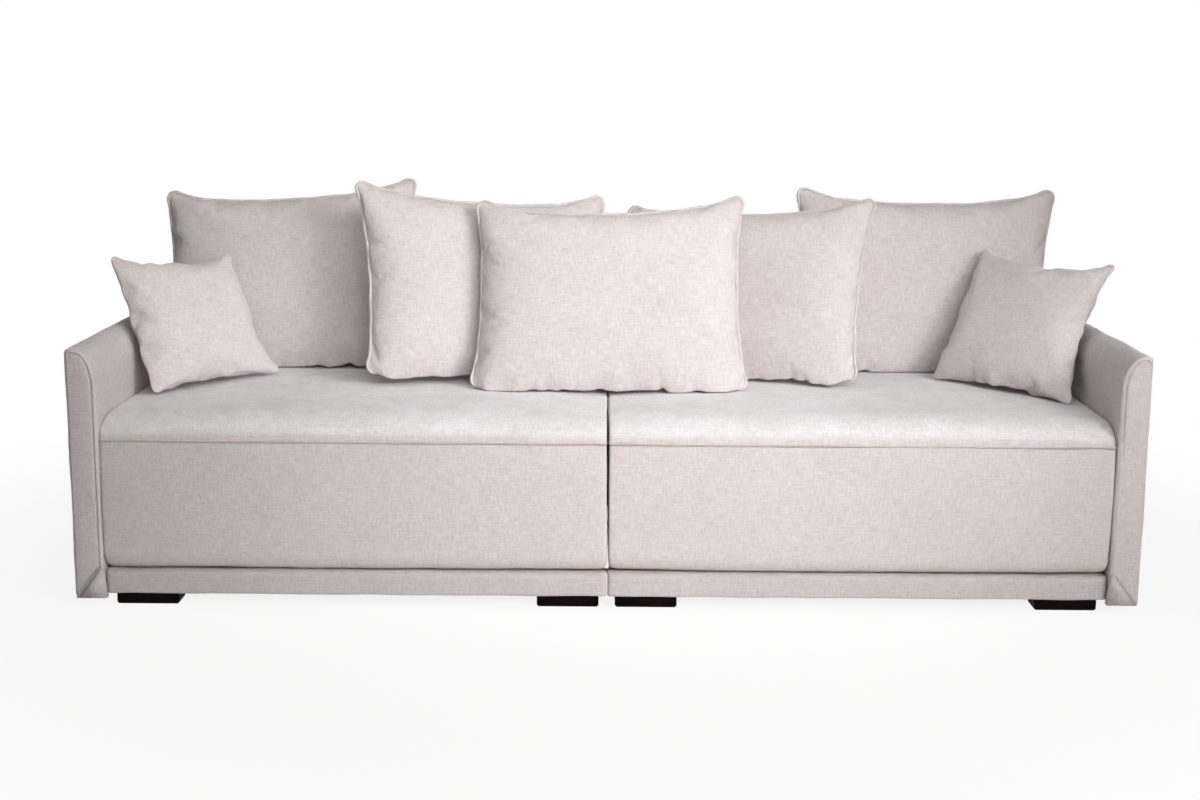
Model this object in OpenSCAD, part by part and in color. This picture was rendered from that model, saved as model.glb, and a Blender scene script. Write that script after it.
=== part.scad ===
// Two-module sofa bed with sliding seats, fold-down backs and loose cushions.
// Origin: centre of the footprint on the floor. +X right, +Y to the back, +Z up.

/* [Overall] */
// Width over both arms
overall_w = 2600; // [2200:10:3000]
// Depth from the front of the seats to the back of the sofa
overall_d = 980; // [900:10:1200]
// Height of the arms and of the backs
arm_h = 636; // [580:2:760]
// Thickness of an arm
arm_t = 72; // [55:1:140]
// Height of the arms' lower edge over the floor
arm_lift = 20; // [8:1:40]

/* [Base] */
// Height of the feet
foot_h = 28; // [18:1:60]
// Width of a foot
foot_w = 152; // [80:1:200]
// Depth of a foot
foot_d = 70; // [40:1:90]
// Height of the upholstered plinth
plinth_h = 59; // [40:1:80]
// Thickness of the plinth board with its cover
plinth_t = 30; // [20:1:40]
// Set-back of the plinth behind the seat front
plinth_set = 14; // [6:1:40]
// Thickness of the base boards
base_t = 22; // [16:1:26]
// Height of the two bearers that carry the runners
bearer_h = 127; // [115:1:135]
// Thickness of the rear panel
rear_panel_t = 25; // [16:1:30]

/* [Seat] */
// Height of the seat's flat edge over the floor
seat_h = 464; // [420:2:520]
// Crown of the seat over its edge
seat_crown = 12; // [4:1:24]
// Height of the roll above the front piping
roll_h = 52; // [30:1:80]
// Depth of the roll behind the front
roll_d = 110; // [60:1:160]
// Radius of the seat's lower front edge
seat_lower_r = 34; // [15:1:40]
// Radius of the seat's ends
seat_end_r = 26; // [12:1:36]
// Bulge of the seat's front face
seat_bulge = 9; // [2:1:16]
// Gap between the plinth and the seat block
seat_reveal = 3; // [2:1:8]
// Thickness of the padding round the seat frame
seat_wall = 40; // [34:1:60]
// Thickness of the padding on top of the seat frame
seat_pad_t = 214; // [180:2:230]
// Gap between the seat and the back
back_gap = 15; // [14:1:24]

/* [Back] */
// Thickness of the backs
back_t = 150; // [110:2:180]
// Depth of the backs below the seat's edge
back_drop = 120; // [90:2:140]
// Radius of the backs' long edges
back_edge_r = 28; // [14:1:40]
// Radius of the backs' ends
back_end_r = 16; // [8:1:24]
// Radius of the hinge pins
pin_r = 6; // [4:0.5:8]
// Wall round a hinge pin's bore
eye_wall = 5; // [4:0.5:7]
// Thickness of the hinge plates
plate_t = 4; // [3:0.5:5]

/* [Cushions] */
// Width of the five back cushions
cushion_w = 700; // [560:5:760]
// Height of the five back cushions
cushion_h = 510; // [420:5:600]
// Thickness of the five back cushions
cushion_t = 150; // [100:2:170]
// Width of the two small cushions
throw_w = 392; // [320:2:450]
// Height of the two small cushions
throw_h = 388; // [320:2:450]
// Thickness of the two small cushions
throw_t = 118; // [80:2:140]

/* [Hidden] */

// Clearances
fit = 0.5;
soft_gap = 0.4;
pin_gap = 0.06;
overrun = 2;
module_gap = 3;

// Planes shared by the pieces of one module
half_w = overall_w / 2;
front_y = -overall_d / 2;
rear_y = overall_d / 2;
arm_face_x = half_w - arm_t;
inner_x = module_gap / 2;
plinth_top = foot_h + plinth_h;
seat_bottom = plinth_top + seat_reveal;
back_front_y = rear_y - back_t;
seat_rear_y = back_front_y - back_gap;
back_bottom = seat_h - back_drop;
pivot_y = back_front_y;
pivot_z = seat_h;

// Seat frame in the hollow of the seat block
seat_x0 = inner_x;
seat_x1 = arm_face_x - fit;
seat_len = seat_x1 - seat_x0;
seat_mid_x = (seat_x0 + seat_x1) / 2;
hollow_x0 = seat_x0 + seat_wall;
hollow_x1 = seat_x1 - seat_wall;
hollow_y0 = front_y + seat_wall + seat_bulge;
hollow_y1 = seat_rear_y - seat_wall;
hollow_top = seat_h - seat_pad_t;
bearer_top = foot_h + bearer_h;
seat_rear_r = 32;
rail_t = 22;
rail_lift = 6;
slat_t = 10;
slat_w = 55;
slat_count = 11;
slat_bow = 5;
rail_top = hollow_top - slat_t - slat_bow - fit;

// Runner section
runner_h = 45;
runner_w = 13;
runner_wall = 1.5;
runner_len = 560;
runner_play = 1.2;

// Arm profile
arm_outer_r = 14;
arm_roll_w = 56;
arm_roll_h = 84;
bolt_r = 4;
bolt_head_r = 8;
bolt_head_h = 5;
bolt_reach = 38;
bolt_count = 3;

// Cushion shapes
draw_in_share = 0.045;
crown_power = 4;
cushion_cols = 16;
cushion_rows = 12;

// Cushion places: yaw, lean and roll in degrees
lean_rear = 15;
lean_mid = 19;
lean_mid_right = 24;
lean_front = 20;
yaw_mid = 22;
roll_far_left = 2.5;
roll_mid_left = -4;
roll_mid_right = 3;
rolled_gap = 2;
mid_left_x_share = 0.245;
mid_right_x_share = 0.268;
mid_step_share = 1.2;
mid_stagger_share = 0.2;
front_step_share = 1.0;
small_x_share = 0.52;
small_y_share = 1.9;
small_yaw = 45;
small_lean = 30;

// The rear cushions lean on the rounded upper edge of the backs
edge_relief = back_edge_r * (sin(lean_rear) + cos(lean_rear) - 1) / cos(lean_rear);
rear_row_y = back_front_y - soft_gap - (arm_h - seat_h - seat_crown) * tan(lean_rear)
    - cushion_t / 2 / cos(lean_rear) + edge_relief;
mid_row_y = rear_row_y - mid_step_share * cushion_t;
front_row_y = mid_row_y - front_step_share * cushion_t;
far_x = arm_face_x - soft_gap - cushion_w / 2;
mid_left_x = mid_left_x_share * arm_face_x;
mid_right_x = mid_right_x_share * arm_face_x;
mid_right_y = mid_row_y + mid_stagger_share * cushion_t;
small_x = arm_face_x - small_x_share * throw_w;
small_y = rear_row_y - small_y_share * cushion_t;

// Each place: [x, y, yaw, lean, roll]
far_left_place = [-far_x, rear_row_y, 0, lean_rear, roll_far_left];
mid_left_place = [-mid_left_x, mid_row_y, yaw_mid, lean_mid, roll_mid_left];
centre_place = [0, front_row_y, 0, lean_front, 0];
mid_right_place = [mid_right_x, mid_right_y, -yaw_mid, lean_mid_right, roll_mid_right];
far_right_place = [far_x, rear_row_y, 0, lean_rear, 0];
small_left_place = [-small_x, small_y, small_yaw, small_lean, 0];
small_right_place = [small_x, small_y, -small_yaw, small_lean, 0];

// Height of the seat's top at a distance x from the centre line
function seat_top(x) =
    let (u = min(1, abs(abs(x) - seat_mid_x) / (seat_len / 2)))
    seat_h + seat_crown * (1 - pow(u, crown_power));

// Height of a cushion's bottom centre when its lower corners stand on the seat
function stand_z(place, w) =
    let (
        side = w / 2 * cos(place[4]),
        rise = w / 2 * sin(place[4]) * cos(place[3]),
        left_x = place[0] - side * cos(place[2]),
        right_x = place[0] + side * cos(place[2])
    )
    (place[4] == 0 ? soft_gap : rolled_gap) + max(seat_top(left_x) + rise, seat_top(right_x) - rise);

// Points from angle a0 to a1 on an ellipse's quarter
function arc(cy, cz, ry, rz, a0, a1, n) =
    [for (i = [0 : n]) let (a = a0 + (a1 - a0) * i / n) [cy + ry * cos(a), cz + rz * sin(a)]];

// Closed padded block: sections along x, each drawn in by its end radius
// size [len, d, h], long edges: front roll [d, h], lower front, rear and lower rear radius
module padded_block(len, d, h, roll, lower_r, rear_r, end_r, crown, bulge) {
    end_steps = 4;
    mid_steps = 8;
    straight = len - 2 * end_r;
    stations = concat(
        [for (i = [end_steps : -1 : 1]) let (a = 90 * i / end_steps)
            [-straight / 2 - end_r * sin(a), end_r * (1 - cos(a))]],
        [for (i = [0 : mid_steps]) [straight * (i / mid_steps - 1 / 2), 0]],
        [for (i = [1 : end_steps]) let (a = 90 * i / end_steps)
            [straight / 2 + end_r * sin(a), end_r * (1 - cos(a))]]
    );
    function section(x, e) =
        let (
            swell = 1 - pow(abs(x) / (len / 2), crown_power),
            y0 = e + bulge * (1 - swell),
            face_y = y0 + bulge / 2,
            top = h - e + crown * swell,
            ry = max(roll[0] - e, end_r / 4),
            rz = max(roll[1] - e, end_r / 4),
            rl = max(lower_r - e, end_r / 4),
            rr = max(rear_r - e, end_r / 4)
        )
        concat(
            arc(face_y + rl, e + rl, rl, rl, 270, 180, 4),
            [for (s = [1 / 4, 1 / 2, 3 / 4]) [y0 + bulge / 2 * pow(2 * s - 1, 2),
                e + rl + (top - rz - e - rl) * s]],
            arc(face_y + ry, top - rz, ry, rz, 180, 90, 7),
            arc(d - e - rr, top - rr, rr, rr, 90, 0, 4),
            arc(d - e - rr, e + rr, rr, rr, 0, -90, 3)
        );
    rings = [for (s = stations) [for (q = section(s[0], s[1])) [s[0], q[0], q[1]]]];
    m = len(rings[0]);
    last = len(stations) - 1;
    points = [for (ring = rings) each ring];
    skin = [for (k = [0 : last - 1], i = [0 : m - 1])
        let (a = k * m + i, b = k * m + (i + 1) % m, c = a + m, e = b + m)
        each [[a, e, c], [a, b, e]]];
    caps = [for (i = [1 : m - 2])
        each [[0, i + 1, i], [last * m, last * m + i, last * m + i + 1]]];
    polyhedron(points = points, faces = concat(skin, caps), convexity = 4);
}

// Knife-edge cushion: crowned faces that meet in one seam, with drawn-in sides and full corners
module knife_edge_cushion(w, h, t) {
    cols = cushion_cols;
    rows = cushion_rows;
    function spread(i, n) = sin(90 * (2 * i / n - 1));
    function swell(u, v) = sqrt(max(0, (1 - pow(u, crown_power)) * (1 - pow(v, crown_power))));
    function at(i, j, side) =
        let (u = spread(i, cols), v = spread(j, rows))
        [w / 2 * u * (1 - draw_in_share * (1 - v * v)),
         side * t / 2 * swell(u, v),
         h / 2 * (1 + v * (1 - draw_in_share * (1 - u * u)))];
    front = [for (j = [0 : rows], i = [0 : cols]) at(i, j, -1)];
    rear = [for (j = [1 : rows - 1], i = [1 : cols - 1]) at(i, j, 1)];
    function fi(i, j) = j * (cols + 1) + i;
    function ri(i, j) = (i == 0 || i == cols || j == 0 || j == rows)
        ? fi(i, j) : len(front) + (j - 1) * (cols - 1) + i - 1;
    // The diagonals run towards the corners, so no two triangles share all three points of the seam
    function rising(i, j) = (i < cols / 2) == (j < rows / 2);
    faces = [for (j = [0 : rows - 1], i = [0 : cols - 1]) each rising(i, j) ? [
        [fi(i, j), fi(i + 1, j + 1), fi(i + 1, j)], [fi(i, j), fi(i, j + 1), fi(i + 1, j + 1)],
        [ri(i, j), ri(i + 1, j), ri(i + 1, j + 1)], [ri(i, j), ri(i + 1, j + 1), ri(i, j + 1)]
    ] : [
        [fi(i, j), fi(i, j + 1), fi(i + 1, j)], [fi(i + 1, j), fi(i, j + 1), fi(i + 1, j + 1)],
        [ri(i, j), ri(i + 1, j), ri(i, j + 1)], [ri(i + 1, j), ri(i + 1, j + 1), ri(i, j + 1)]
    ]];
    polyhedron(points = concat(front, rear), faces = faces, convexity = 4);
}

module placed(place, w) {
    translate([place[0], place[1], stand_z(place, w)])
        rotate([0, 0, place[2]]) rotate([-place[3], 0, 0]) rotate([0, -place[4], 0]) children();
}

// Box between two corners
module span(low, high) {
    translate(low) cube(high - low);
}

// The pieces below are drawn for the right-hand module; the left one mirrors them
module on_side(side) {
    if (side == "left") mirror([1, 0, 0]) children();
    else children();
}

// Places along the depth where the arm bolts go
function bolt_y(i) = front_y + overall_d * (i + 1) / (bolt_count + 1);
bolt_z = foot_h + plinth_h / 2;

module arm_profile() {
    roll_x = arm_face_x + arm_roll_w;
    polygon(concat(
        [[arm_face_x, arm_lift]],
        arc(roll_x, arm_h - arm_roll_h, arm_roll_w, arm_roll_h, 180, 90, 10),
        arc(half_w - arm_outer_r, arm_h - arm_outer_r, arm_outer_r, arm_outer_r, 90, 0, 5),
        [[half_w, arm_lift]]
    ));
}

module arm() {
    color("#d8cdc6") difference() {
        translate([0, rear_y, 0]) rotate([90, 0, 0]) linear_extrude(overall_d) arm_profile();
        for (i = [0 : bolt_count - 1])
            translate([arm_face_x - overrun, bolt_y(i), bolt_z]) rotate([0, 90, 0])
                cylinder(r = bolt_r + pin_gap, h = bolt_reach + overrun, $fn = 32);
    }
}

// The outer rail stands off the arm by the thickness of the hinge bracket between them
side_rail_x1 = arm_face_x - plate_t - fit;
module arm_bolts() {
    head_x = side_rail_x1 - base_t;
    shank = arm_face_x - head_x + bolt_reach - fit;
    color("#9a9a9a") for (i = [0 : bolt_count - 1])
        translate([head_x, bolt_y(i), bolt_z]) rotate([0, 90, 0]) {
            cylinder(r = bolt_r, h = shank, $fn = 32);
            translate([0, 0, -bolt_head_h]) cylinder(r = bolt_head_r, h = bolt_head_h, $fn = 6);
        }
}

// Timber frame: outer rails, two bearers and a cross rail between them
base_y0 = front_y + plinth_set + plinth_t;
base_y1 = rear_y - rear_panel_t;
base_x0 = inner_x + plate_t;
bearer_x0 = hollow_x0 + rail_t + runner_w;
bearer_x1 = hollow_x1 - rail_t - runner_w;
bearer_y1 = pivot_y - pin_r - eye_wall;
module base_frame() {
    front_clear = hollow_y0 + rail_t + fit;
    color("#c9a878") difference() {
        union() {
            span([base_x0, base_y0, foot_h], [side_rail_x1, base_y0 + base_t, plinth_top]);
            span([base_x0, base_y1 - base_t, foot_h], [side_rail_x1, base_y1, plinth_top]);
            span([base_x0, base_y0, foot_h], [base_x0 + base_t, base_y1, plinth_top]);
            span([side_rail_x1 - base_t, base_y0, foot_h], [side_rail_x1, base_y1, plinth_top]);
            for (x = [bearer_x0, bearer_x1 - base_t]) {
                span([x, base_y0, foot_h], [x + base_t, base_y1, plinth_top]);
                span([x, front_clear, foot_h], [x + base_t, bearer_y1, bearer_top]);
            }
            span([bearer_x0, -base_t / 2, foot_h], [bearer_x1, base_t / 2, bearer_top]);
        }
        for (i = [0 : bolt_count - 1])
            translate([side_rail_x1 - base_t - overrun, bolt_y(i), bolt_z]) rotate([0, 90, 0])
                cylinder(r = bolt_r + pin_gap, h = base_t + 2 * overrun, $fn = 32);
    }
}

// Upholstered board with rounded ends and a short return along the inner side
plinth_r = 12;
plinth_edge_r = 5;
module plinth() {
    y0 = front_y + plinth_set;
    x1 = arm_face_x - fit;
    color("#d3c8c1") {
        translate([0, 0, foot_h]) linear_extrude(plinth_h - plinth_edge_r)
            polygon(concat(
                arc(inner_x + plinth_r, y0 + plinth_r, plinth_r, plinth_r, 180, 270, 6),
                arc(x1 - plinth_r, y0 + plinth_r, plinth_r, plinth_r, 270, 360, 6),
                [[x1, y0 + plinth_t], [inner_x, y0 + plinth_t]]
            ));
        translate([inner_x + plinth_edge_r, y0 + plinth_t, plinth_top - plinth_edge_r])
            rotate([90, 0, 90]) linear_extrude(x1 - inner_x - 2 * plinth_edge_r)
                polygon(concat(
                    [[0, -plinth_edge_r], [0, plinth_edge_r]],
                    arc(-plinth_t + 2 * plinth_edge_r, 0, plinth_edge_r, plinth_edge_r, 90, 180, 6),
                    [[-plinth_t + plinth_edge_r, -plinth_edge_r]]
                ));
    }
}

foot_inset = 24;
foot_edge = 20;
module feet() {
    front_foot_y = front_y + foot_edge;
    rear_foot_y = rear_y - foot_edge - foot_d;
    color("#1d1310")
        for (x = [foot_edge, arm_face_x - foot_inset - foot_w], y = [front_foot_y, rear_foot_y])
            span([x, y, 0], [x + foot_w, y + foot_d, foot_h]);
}

// Fabric-covered board that closes the base below the path of the turning back
panel_clear = 4;
module rear_panel() {
    reach = norm([back_t, back_drop]);
    inset = back_t - rear_panel_t;
    top = pivot_z - max(back_t, sqrt(reach * reach - inset * inset)) - panel_clear;
    color("#d3c8c1") span([inner_x, base_y1, foot_h], [arm_face_x - fit, rear_y, top]);
}

// Steel uprights at both ends of a back, each with its pin's eye at the top
bracket_w = 36;
bracket_y0 = seat_rear_y + overrun;
eye_r = pin_r + eye_wall;
bracket_xs = [inner_x, arm_face_x - fit - plate_t];
module upright(x) {
    translate([x, 0, 0]) rotate([90, 0, 90]) linear_extrude(plate_t)
        polygon([
            [bracket_y0, plinth_top - plinth_h / 2], [bracket_y0 + bracket_w, plinth_top - plinth_h / 2],
            [bracket_y0 + bracket_w, pivot_z - back_drop / 2],
            [pivot_y + eye_r * cos(45), pivot_z + eye_r * sin(45) - eye_wall],
            [pivot_y - eye_r * cos(45), pivot_z + eye_r * sin(45) - eye_wall]
        ]);
}
module hinge_brackets() {
    color("#7d8084") difference() {
        for (x = bracket_xs) {
            upright(x);
            translate([x, pivot_y, pivot_z]) rotate([0, 90, 0]) cylinder(r = eye_r, h = plate_t, $fn = 48);
        }
        for (x = bracket_xs) translate([x - overrun, pivot_y, pivot_z]) rotate([0, 90, 0])
            cylinder(r = pin_r + pin_gap, h = plate_t + 2 * overrun, $fn = 48);
    }
}

// Pins lie flush in the bracket and the plate beside it
plate_xs = [inner_x + plate_t + fit, arm_face_x - 2 * fit - 2 * plate_t];
module hinge_pins() {
    color("#b8bbbf") for (x = [inner_x, arm_face_x - 2 * fit - 2 * plate_t])
        translate([x, pivot_y, pivot_z]) rotate([0, 90, 0]) cylinder(r = pin_r, h = 2 * plate_t + fit, $fn = 48);
}

// Plates on the ends of a back pad, drilled for the pins
module back_plates() {
    y0 = pivot_y + back_edge_r + back_end_r;
    y1 = rear_y - back_edge_r - back_end_r;
    z0 = back_bottom + back_edge_r + back_end_r;
    z1 = pivot_z + eye_r;
    color("#7d8084") difference() {
        for (x = plate_xs) {
            translate([x, 0, 0]) rotate([90, 0, 90]) linear_extrude(plate_t)
                polygon([[pivot_y, pivot_z - eye_r], [y0, z0], [y1, z0], [y1, z1], [pivot_y, z1]]);
            translate([x, pivot_y, pivot_z]) rotate([0, 90, 0]) cylinder(r = eye_r, h = plate_t, $fn = 48);
        }
        for (x = plate_xs) translate([x - overrun, pivot_y, pivot_z]) rotate([0, 90, 0])
            cylinder(r = pin_r + pin_gap, h = plate_t + 2 * overrun, $fn = 48);
    }
}

// Hooked plates under the base that hold both modules together
connector_l = 90;
connector_w = 40;
connector_t = 3;
connector_pin_r = 6;
module module_connectors() {
    color("#7d8084") for (y = [-overall_d / 4, overall_d / 4])
        translate([0, y, foot_h - connector_t]) {
            translate([-connector_l / 2, -connector_w / 2, 0]) cube([connector_l, connector_w, connector_t]);
            for (x = [-connector_l / 3, connector_l / 3])
                translate([x, 0, -connector_t]) cylinder(r = connector_pin_r, h = connector_t, $fn = 6);
        }
}

// Outer members: C channels on the bearers; inner members: smaller channels on the seat rails
runner_z0 = bearer_top - runner_h;
runner_y0 = base_y0 + base_t + foot_d;
module channel(h, w, wall) {
    polygon([[0, 0], [w, 0], [w, h], [0, h], [0, h - wall], [w - wall, h - wall], [w - wall, wall], [0, wall]]);
}
module runner_pair(h, w, x_left, x_right, z) {
    translate([x_left, runner_y0 + runner_len, z]) rotate([90, 0, 0]) linear_extrude(runner_len)
        channel(h, w, runner_wall);
    translate([x_right, runner_y0 + runner_len, z]) rotate([90, 0, 0]) linear_extrude(runner_len)
        translate([w, 0]) mirror([1, 0]) channel(h, w, runner_wall);
}
module runner_outer() {
    color("#a6a9ad") runner_pair(runner_h, runner_w - runner_play, bearer_x0 - runner_w + runner_play,
        bearer_x1, runner_z0);
}
module runner_inner() {
    inner_h = runner_h - 2 * (runner_wall + runner_play);
    inner_w = runner_w - runner_wall - runner_play;
    color("#8d9094") {
        translate([bearer_x0 - runner_w, runner_y0 + runner_len, runner_z0 + runner_wall + runner_play])
            rotate([90, 0, 0]) linear_extrude(runner_len)
                translate([inner_w, 0]) mirror([1, 0]) channel(inner_h, inner_w, runner_wall);
        translate([bearer_x1 + runner_w - inner_w, runner_y0 + runner_len, runner_z0 + runner_wall + runner_play])
            rotate([90, 0, 0]) linear_extrude(runner_len) channel(inner_h, inner_w, runner_wall);
    }
}

// Upholstered seat block, hollow below for its frame and open behind for the bearers
module seat_block() {
    color("#dcd2cc") difference() {
        translate([seat_mid_x, front_y, seat_bottom])
            padded_block(seat_len, seat_rear_y - front_y, seat_h - seat_bottom, [roll_d, roll_h],
                seat_lower_r, seat_rear_r, seat_end_r, seat_crown, seat_bulge);
        span([hollow_x0, hollow_y0, seat_bottom - overrun], [hollow_x1, hollow_y1, hollow_top]);
        span([hollow_x0, hollow_y0, seat_bottom - overrun], [hollow_x1, seat_rear_y + overrun, bearer_top + rail_lift]);
    }
}

// Timber frame of the seat: side rails to the runners, front and rear rails
module seat_frame() {
    z0 = seat_bottom + rail_lift;
    zr = bearer_top + rail_lift;
    color("#c9a878") {
        for (x = [hollow_x0, hollow_x1 - rail_t])
            span([x, hollow_y0, z0], [x + rail_t, hollow_y1, rail_top]);
        span([hollow_x0, hollow_y0, z0], [hollow_x1, hollow_y0 + rail_t, rail_top]);
        span([hollow_x0, hollow_y1 - rail_t, zr], [hollow_x1, hollow_y1, rail_top]);
        span([seat_mid_x - rail_t / 2, hollow_y0, zr], [seat_mid_x + rail_t / 2, hollow_y1, rail_top]);
    }
}

// Bowed slats from the front rail to the rear rail
module seat_slats() {
    pitch = (hollow_x1 - hollow_x0) / slat_count;
    depth = hollow_y1 - hollow_y0;
    steps = 8;
    function bow(s) = slat_bow * (1 - pow(2 * s - 1, 2));
    color("#dbbd8c") for (i = [0 : slat_count - 1])
        translate([hollow_x0 + pitch * (i + 1 / 2) - slat_w / 2, hollow_y0, rail_top])
            rotate([90, 0, 90]) linear_extrude(slat_w) polygon(concat(
                [for (k = [0 : steps]) [depth * k / steps, bow(k / steps)]],
                [for (k = [steps : -1 : 0]) [depth * k / steps, bow(k / steps) + slat_t]]
            ));
}

module back_pad() {
    x0 = plate_xs[0] + plate_t;
    x1 = plate_xs[1];
    color("#d8cdc6") translate([(x0 + x1) / 2, back_front_y, back_bottom])
        padded_block(x1 - x0, back_t, arm_h - back_bottom, [back_edge_r, back_edge_r],
            back_edge_r, back_edge_r, back_end_r, 0, 0);
}

module back_cushion(place) {
    color("#cfc3bc") placed(place, cushion_w) knife_edge_cushion(cushion_w, cushion_h, cushion_t);
}

module small_cushion(place) {
    color("#e0d6d0") placed(place, throw_w) knife_edge_cushion(throw_w, throw_h, throw_t);
}

on_side("left") arm();  // arm_left
on_side("right") arm();  // arm_right
on_side("left") arm_bolts();  // arm_bolts_left
on_side("right") arm_bolts();  // arm_bolts_right
on_side("left") base_frame();  // base_frame_left
on_side("right") base_frame();  // base_frame_right
on_side("left") plinth();  // plinth_left
on_side("right") plinth();  // plinth_right
on_side("left") feet();  // feet_left
on_side("right") feet();  // feet_right
on_side("left") rear_panel();  // rear_panel_left
on_side("right") rear_panel();  // rear_panel_right
on_side("left") hinge_brackets();  // hinge_brackets_left
on_side("right") hinge_brackets();  // hinge_brackets_right
on_side("left") hinge_pins();  // hinge_pins_left
on_side("right") hinge_pins();  // hinge_pins_right
module_connectors();
on_side("left") runner_outer();  // runner_outer_left
on_side("right") runner_outer();  // runner_outer_right
on_side("left") seat_block();  // seat_block_left
on_side("right") seat_block();  // seat_block_right
on_side("left") seat_frame();  // seat_frame_left
on_side("right") seat_frame();  // seat_frame_right
on_side("left") seat_slats();  // seat_slats_left
on_side("right") seat_slats();  // seat_slats_right
on_side("left") runner_inner();  // runner_inner_left
on_side("right") runner_inner();  // runner_inner_right
on_side("left") back_pad();  // back_pad_left
on_side("right") back_pad();  // back_pad_right
on_side("left") back_plates();  // back_plates_left
on_side("right") back_plates();  // back_plates_right
back_cushion(far_left_place);  // cushion_far_left
back_cushion(mid_left_place);  // cushion_mid_left
back_cushion(centre_place);  // cushion_centre
back_cushion(mid_right_place);  // cushion_mid_right
back_cushion(far_right_place);  // cushion_far_right
small_cushion(small_left_place);  // small_cushion_left
small_cushion(small_right_place);  // small_cushion_right
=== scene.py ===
import bpy
import bmesh
import math
import numpy as np
from mathutils import Matrix, Vector, noise
from mathutils.bvhtree import BVHTree


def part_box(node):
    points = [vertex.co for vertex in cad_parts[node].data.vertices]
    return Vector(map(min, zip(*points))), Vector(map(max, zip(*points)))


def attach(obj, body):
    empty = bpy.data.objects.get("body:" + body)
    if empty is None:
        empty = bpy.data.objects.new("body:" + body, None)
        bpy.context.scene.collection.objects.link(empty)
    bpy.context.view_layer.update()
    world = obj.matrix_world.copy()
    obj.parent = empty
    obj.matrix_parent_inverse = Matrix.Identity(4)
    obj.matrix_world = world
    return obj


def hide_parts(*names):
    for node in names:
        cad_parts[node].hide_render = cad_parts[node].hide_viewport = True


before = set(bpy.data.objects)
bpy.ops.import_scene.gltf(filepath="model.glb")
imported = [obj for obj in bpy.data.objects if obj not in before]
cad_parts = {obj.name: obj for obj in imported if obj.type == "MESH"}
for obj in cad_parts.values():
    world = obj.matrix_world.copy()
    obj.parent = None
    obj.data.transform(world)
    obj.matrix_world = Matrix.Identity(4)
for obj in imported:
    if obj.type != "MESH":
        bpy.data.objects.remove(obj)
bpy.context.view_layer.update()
scene = bpy.context.scene


# Camera: at eye height in front of the sofa, a little left of its middle, tipped down by 11 degrees
# and rolled by half a degree, with a lens of about 52 mm. It was solved from the sofa's corners.
camera_place = Vector((-0.0201, -4.6044, 1.2969))
camera_tilt = 0.18614
camera_roll = 0.00746
forward = Vector((0, math.cos(camera_tilt), -math.sin(camera_tilt)))
level_right = Vector((1, 0, 0))
level_up = Vector((0, math.sin(camera_tilt), math.cos(camera_tilt)))
camera_right = math.cos(camera_roll) * level_right + math.sin(camera_roll) * level_up
camera_up = -math.sin(camera_roll) * level_right + math.cos(camera_roll) * level_up
camera_data = bpy.data.cameras.new("camera")
camera_data.sensor_width = 36
camera_data.lens = 52.469
camera = bpy.data.objects.new("camera", camera_data)
camera.matrix_world = Matrix.Translation(camera_place) @ Matrix(
    (camera_right, camera_up, -forward)).transposed().to_4x4()
scene.collection.objects.link(camera)
scene.camera = camera
scene.view_settings.view_transform = "Standard"


# Studio: a white floor that keeps a soft shadow, a white surround, four soft lamps in front, most
# of them on the right, and a wide one above. Only light comes from it: none of it is the sofa's.
def new_material(name):
    material = bpy.data.materials.new(name)
    material.use_nodes = True
    nodes, links = material.node_tree.nodes, material.node_tree.links
    return material, nodes, links


def seen_directly(nodes, links):
    light_path = nodes.new("ShaderNodeLightPath")
    either = nodes.new("ShaderNodeMath")
    either.operation = "MAXIMUM"
    links.new(light_path.outputs["Is Camera Ray"], either.inputs[0])
    links.new(light_path.outputs["Is Glossy Ray"], either.inputs[1])
    any_of_three = nodes.new("ShaderNodeMath")
    any_of_three.operation = "MAXIMUM"
    links.new(either.outputs[0], any_of_three.inputs[0])
    links.new(light_path.outputs["Is Transmission Ray"], any_of_three.inputs[1])
    return any_of_three.outputs[0]


surround_light = 0.10
world = bpy.data.worlds.new("surround")
world.use_nodes = True
scene.world = world
world_nodes, world_links = world.node_tree.nodes, world.node_tree.links
world_nodes.clear()
white_surround = world_nodes.new("ShaderNodeBackground")
white_surround.inputs["Strength"].default_value = 1
white_surround.inputs["Color"].default_value = (1, 1, 1, 1)
dim_surround = world_nodes.new("ShaderNodeBackground")
dim_surround.inputs["Strength"].default_value = surround_light
dim_surround.inputs["Color"].default_value = (1, 0.93, 0.87, 1)
surround_mix = world_nodes.new("ShaderNodeMixShader")
world_out = world_nodes.new("ShaderNodeOutputWorld")
world_links.new(seen_directly(world_nodes, world_links), surround_mix.inputs[0])
world_links.new(dim_surround.outputs[0], surround_mix.inputs[1])
world_links.new(white_surround.outputs[0], surround_mix.inputs[2])
world_links.new(surround_mix.outputs[0], world_out.inputs[0])

floor_half = 14.0
floor_mesh = bpy.data.meshes.new("floor")
floor_mesh.from_pydata(
    [(-floor_half, -floor_half, 0), (floor_half, -floor_half, 0), (floor_half, floor_half, 0),
     (-floor_half, floor_half, 0)], [], [(0, 1, 2, 3)])
floor = bpy.data.objects.new("floor", floor_mesh)
scene.collection.objects.link(floor)
floor_white, nodes, links = new_material("floor_white")
nodes.clear()
shadowed = nodes.new("ShaderNodeBsdfDiffuse")
shadowed.inputs["Color"].default_value = (0.9, 0.9, 0.9, 1)
glow = nodes.new("ShaderNodeEmission")
glow.inputs["Color"].default_value = (1, 1, 1, 1)
glow.inputs["Strength"].default_value = 1
from_middle = nodes.new("ShaderNodeVectorMath")
from_middle.operation = "LENGTH"
where = nodes.new("ShaderNodeTexCoord")
links.new(where.outputs["Object"], from_middle.inputs[0])
fade = nodes.new("ShaderNodeMapRange")
fade.interpolation_type = "SMOOTHSTEP"
fade.inputs["From Min"].default_value = 1.0
fade.inputs["From Max"].default_value = 2.7
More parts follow.
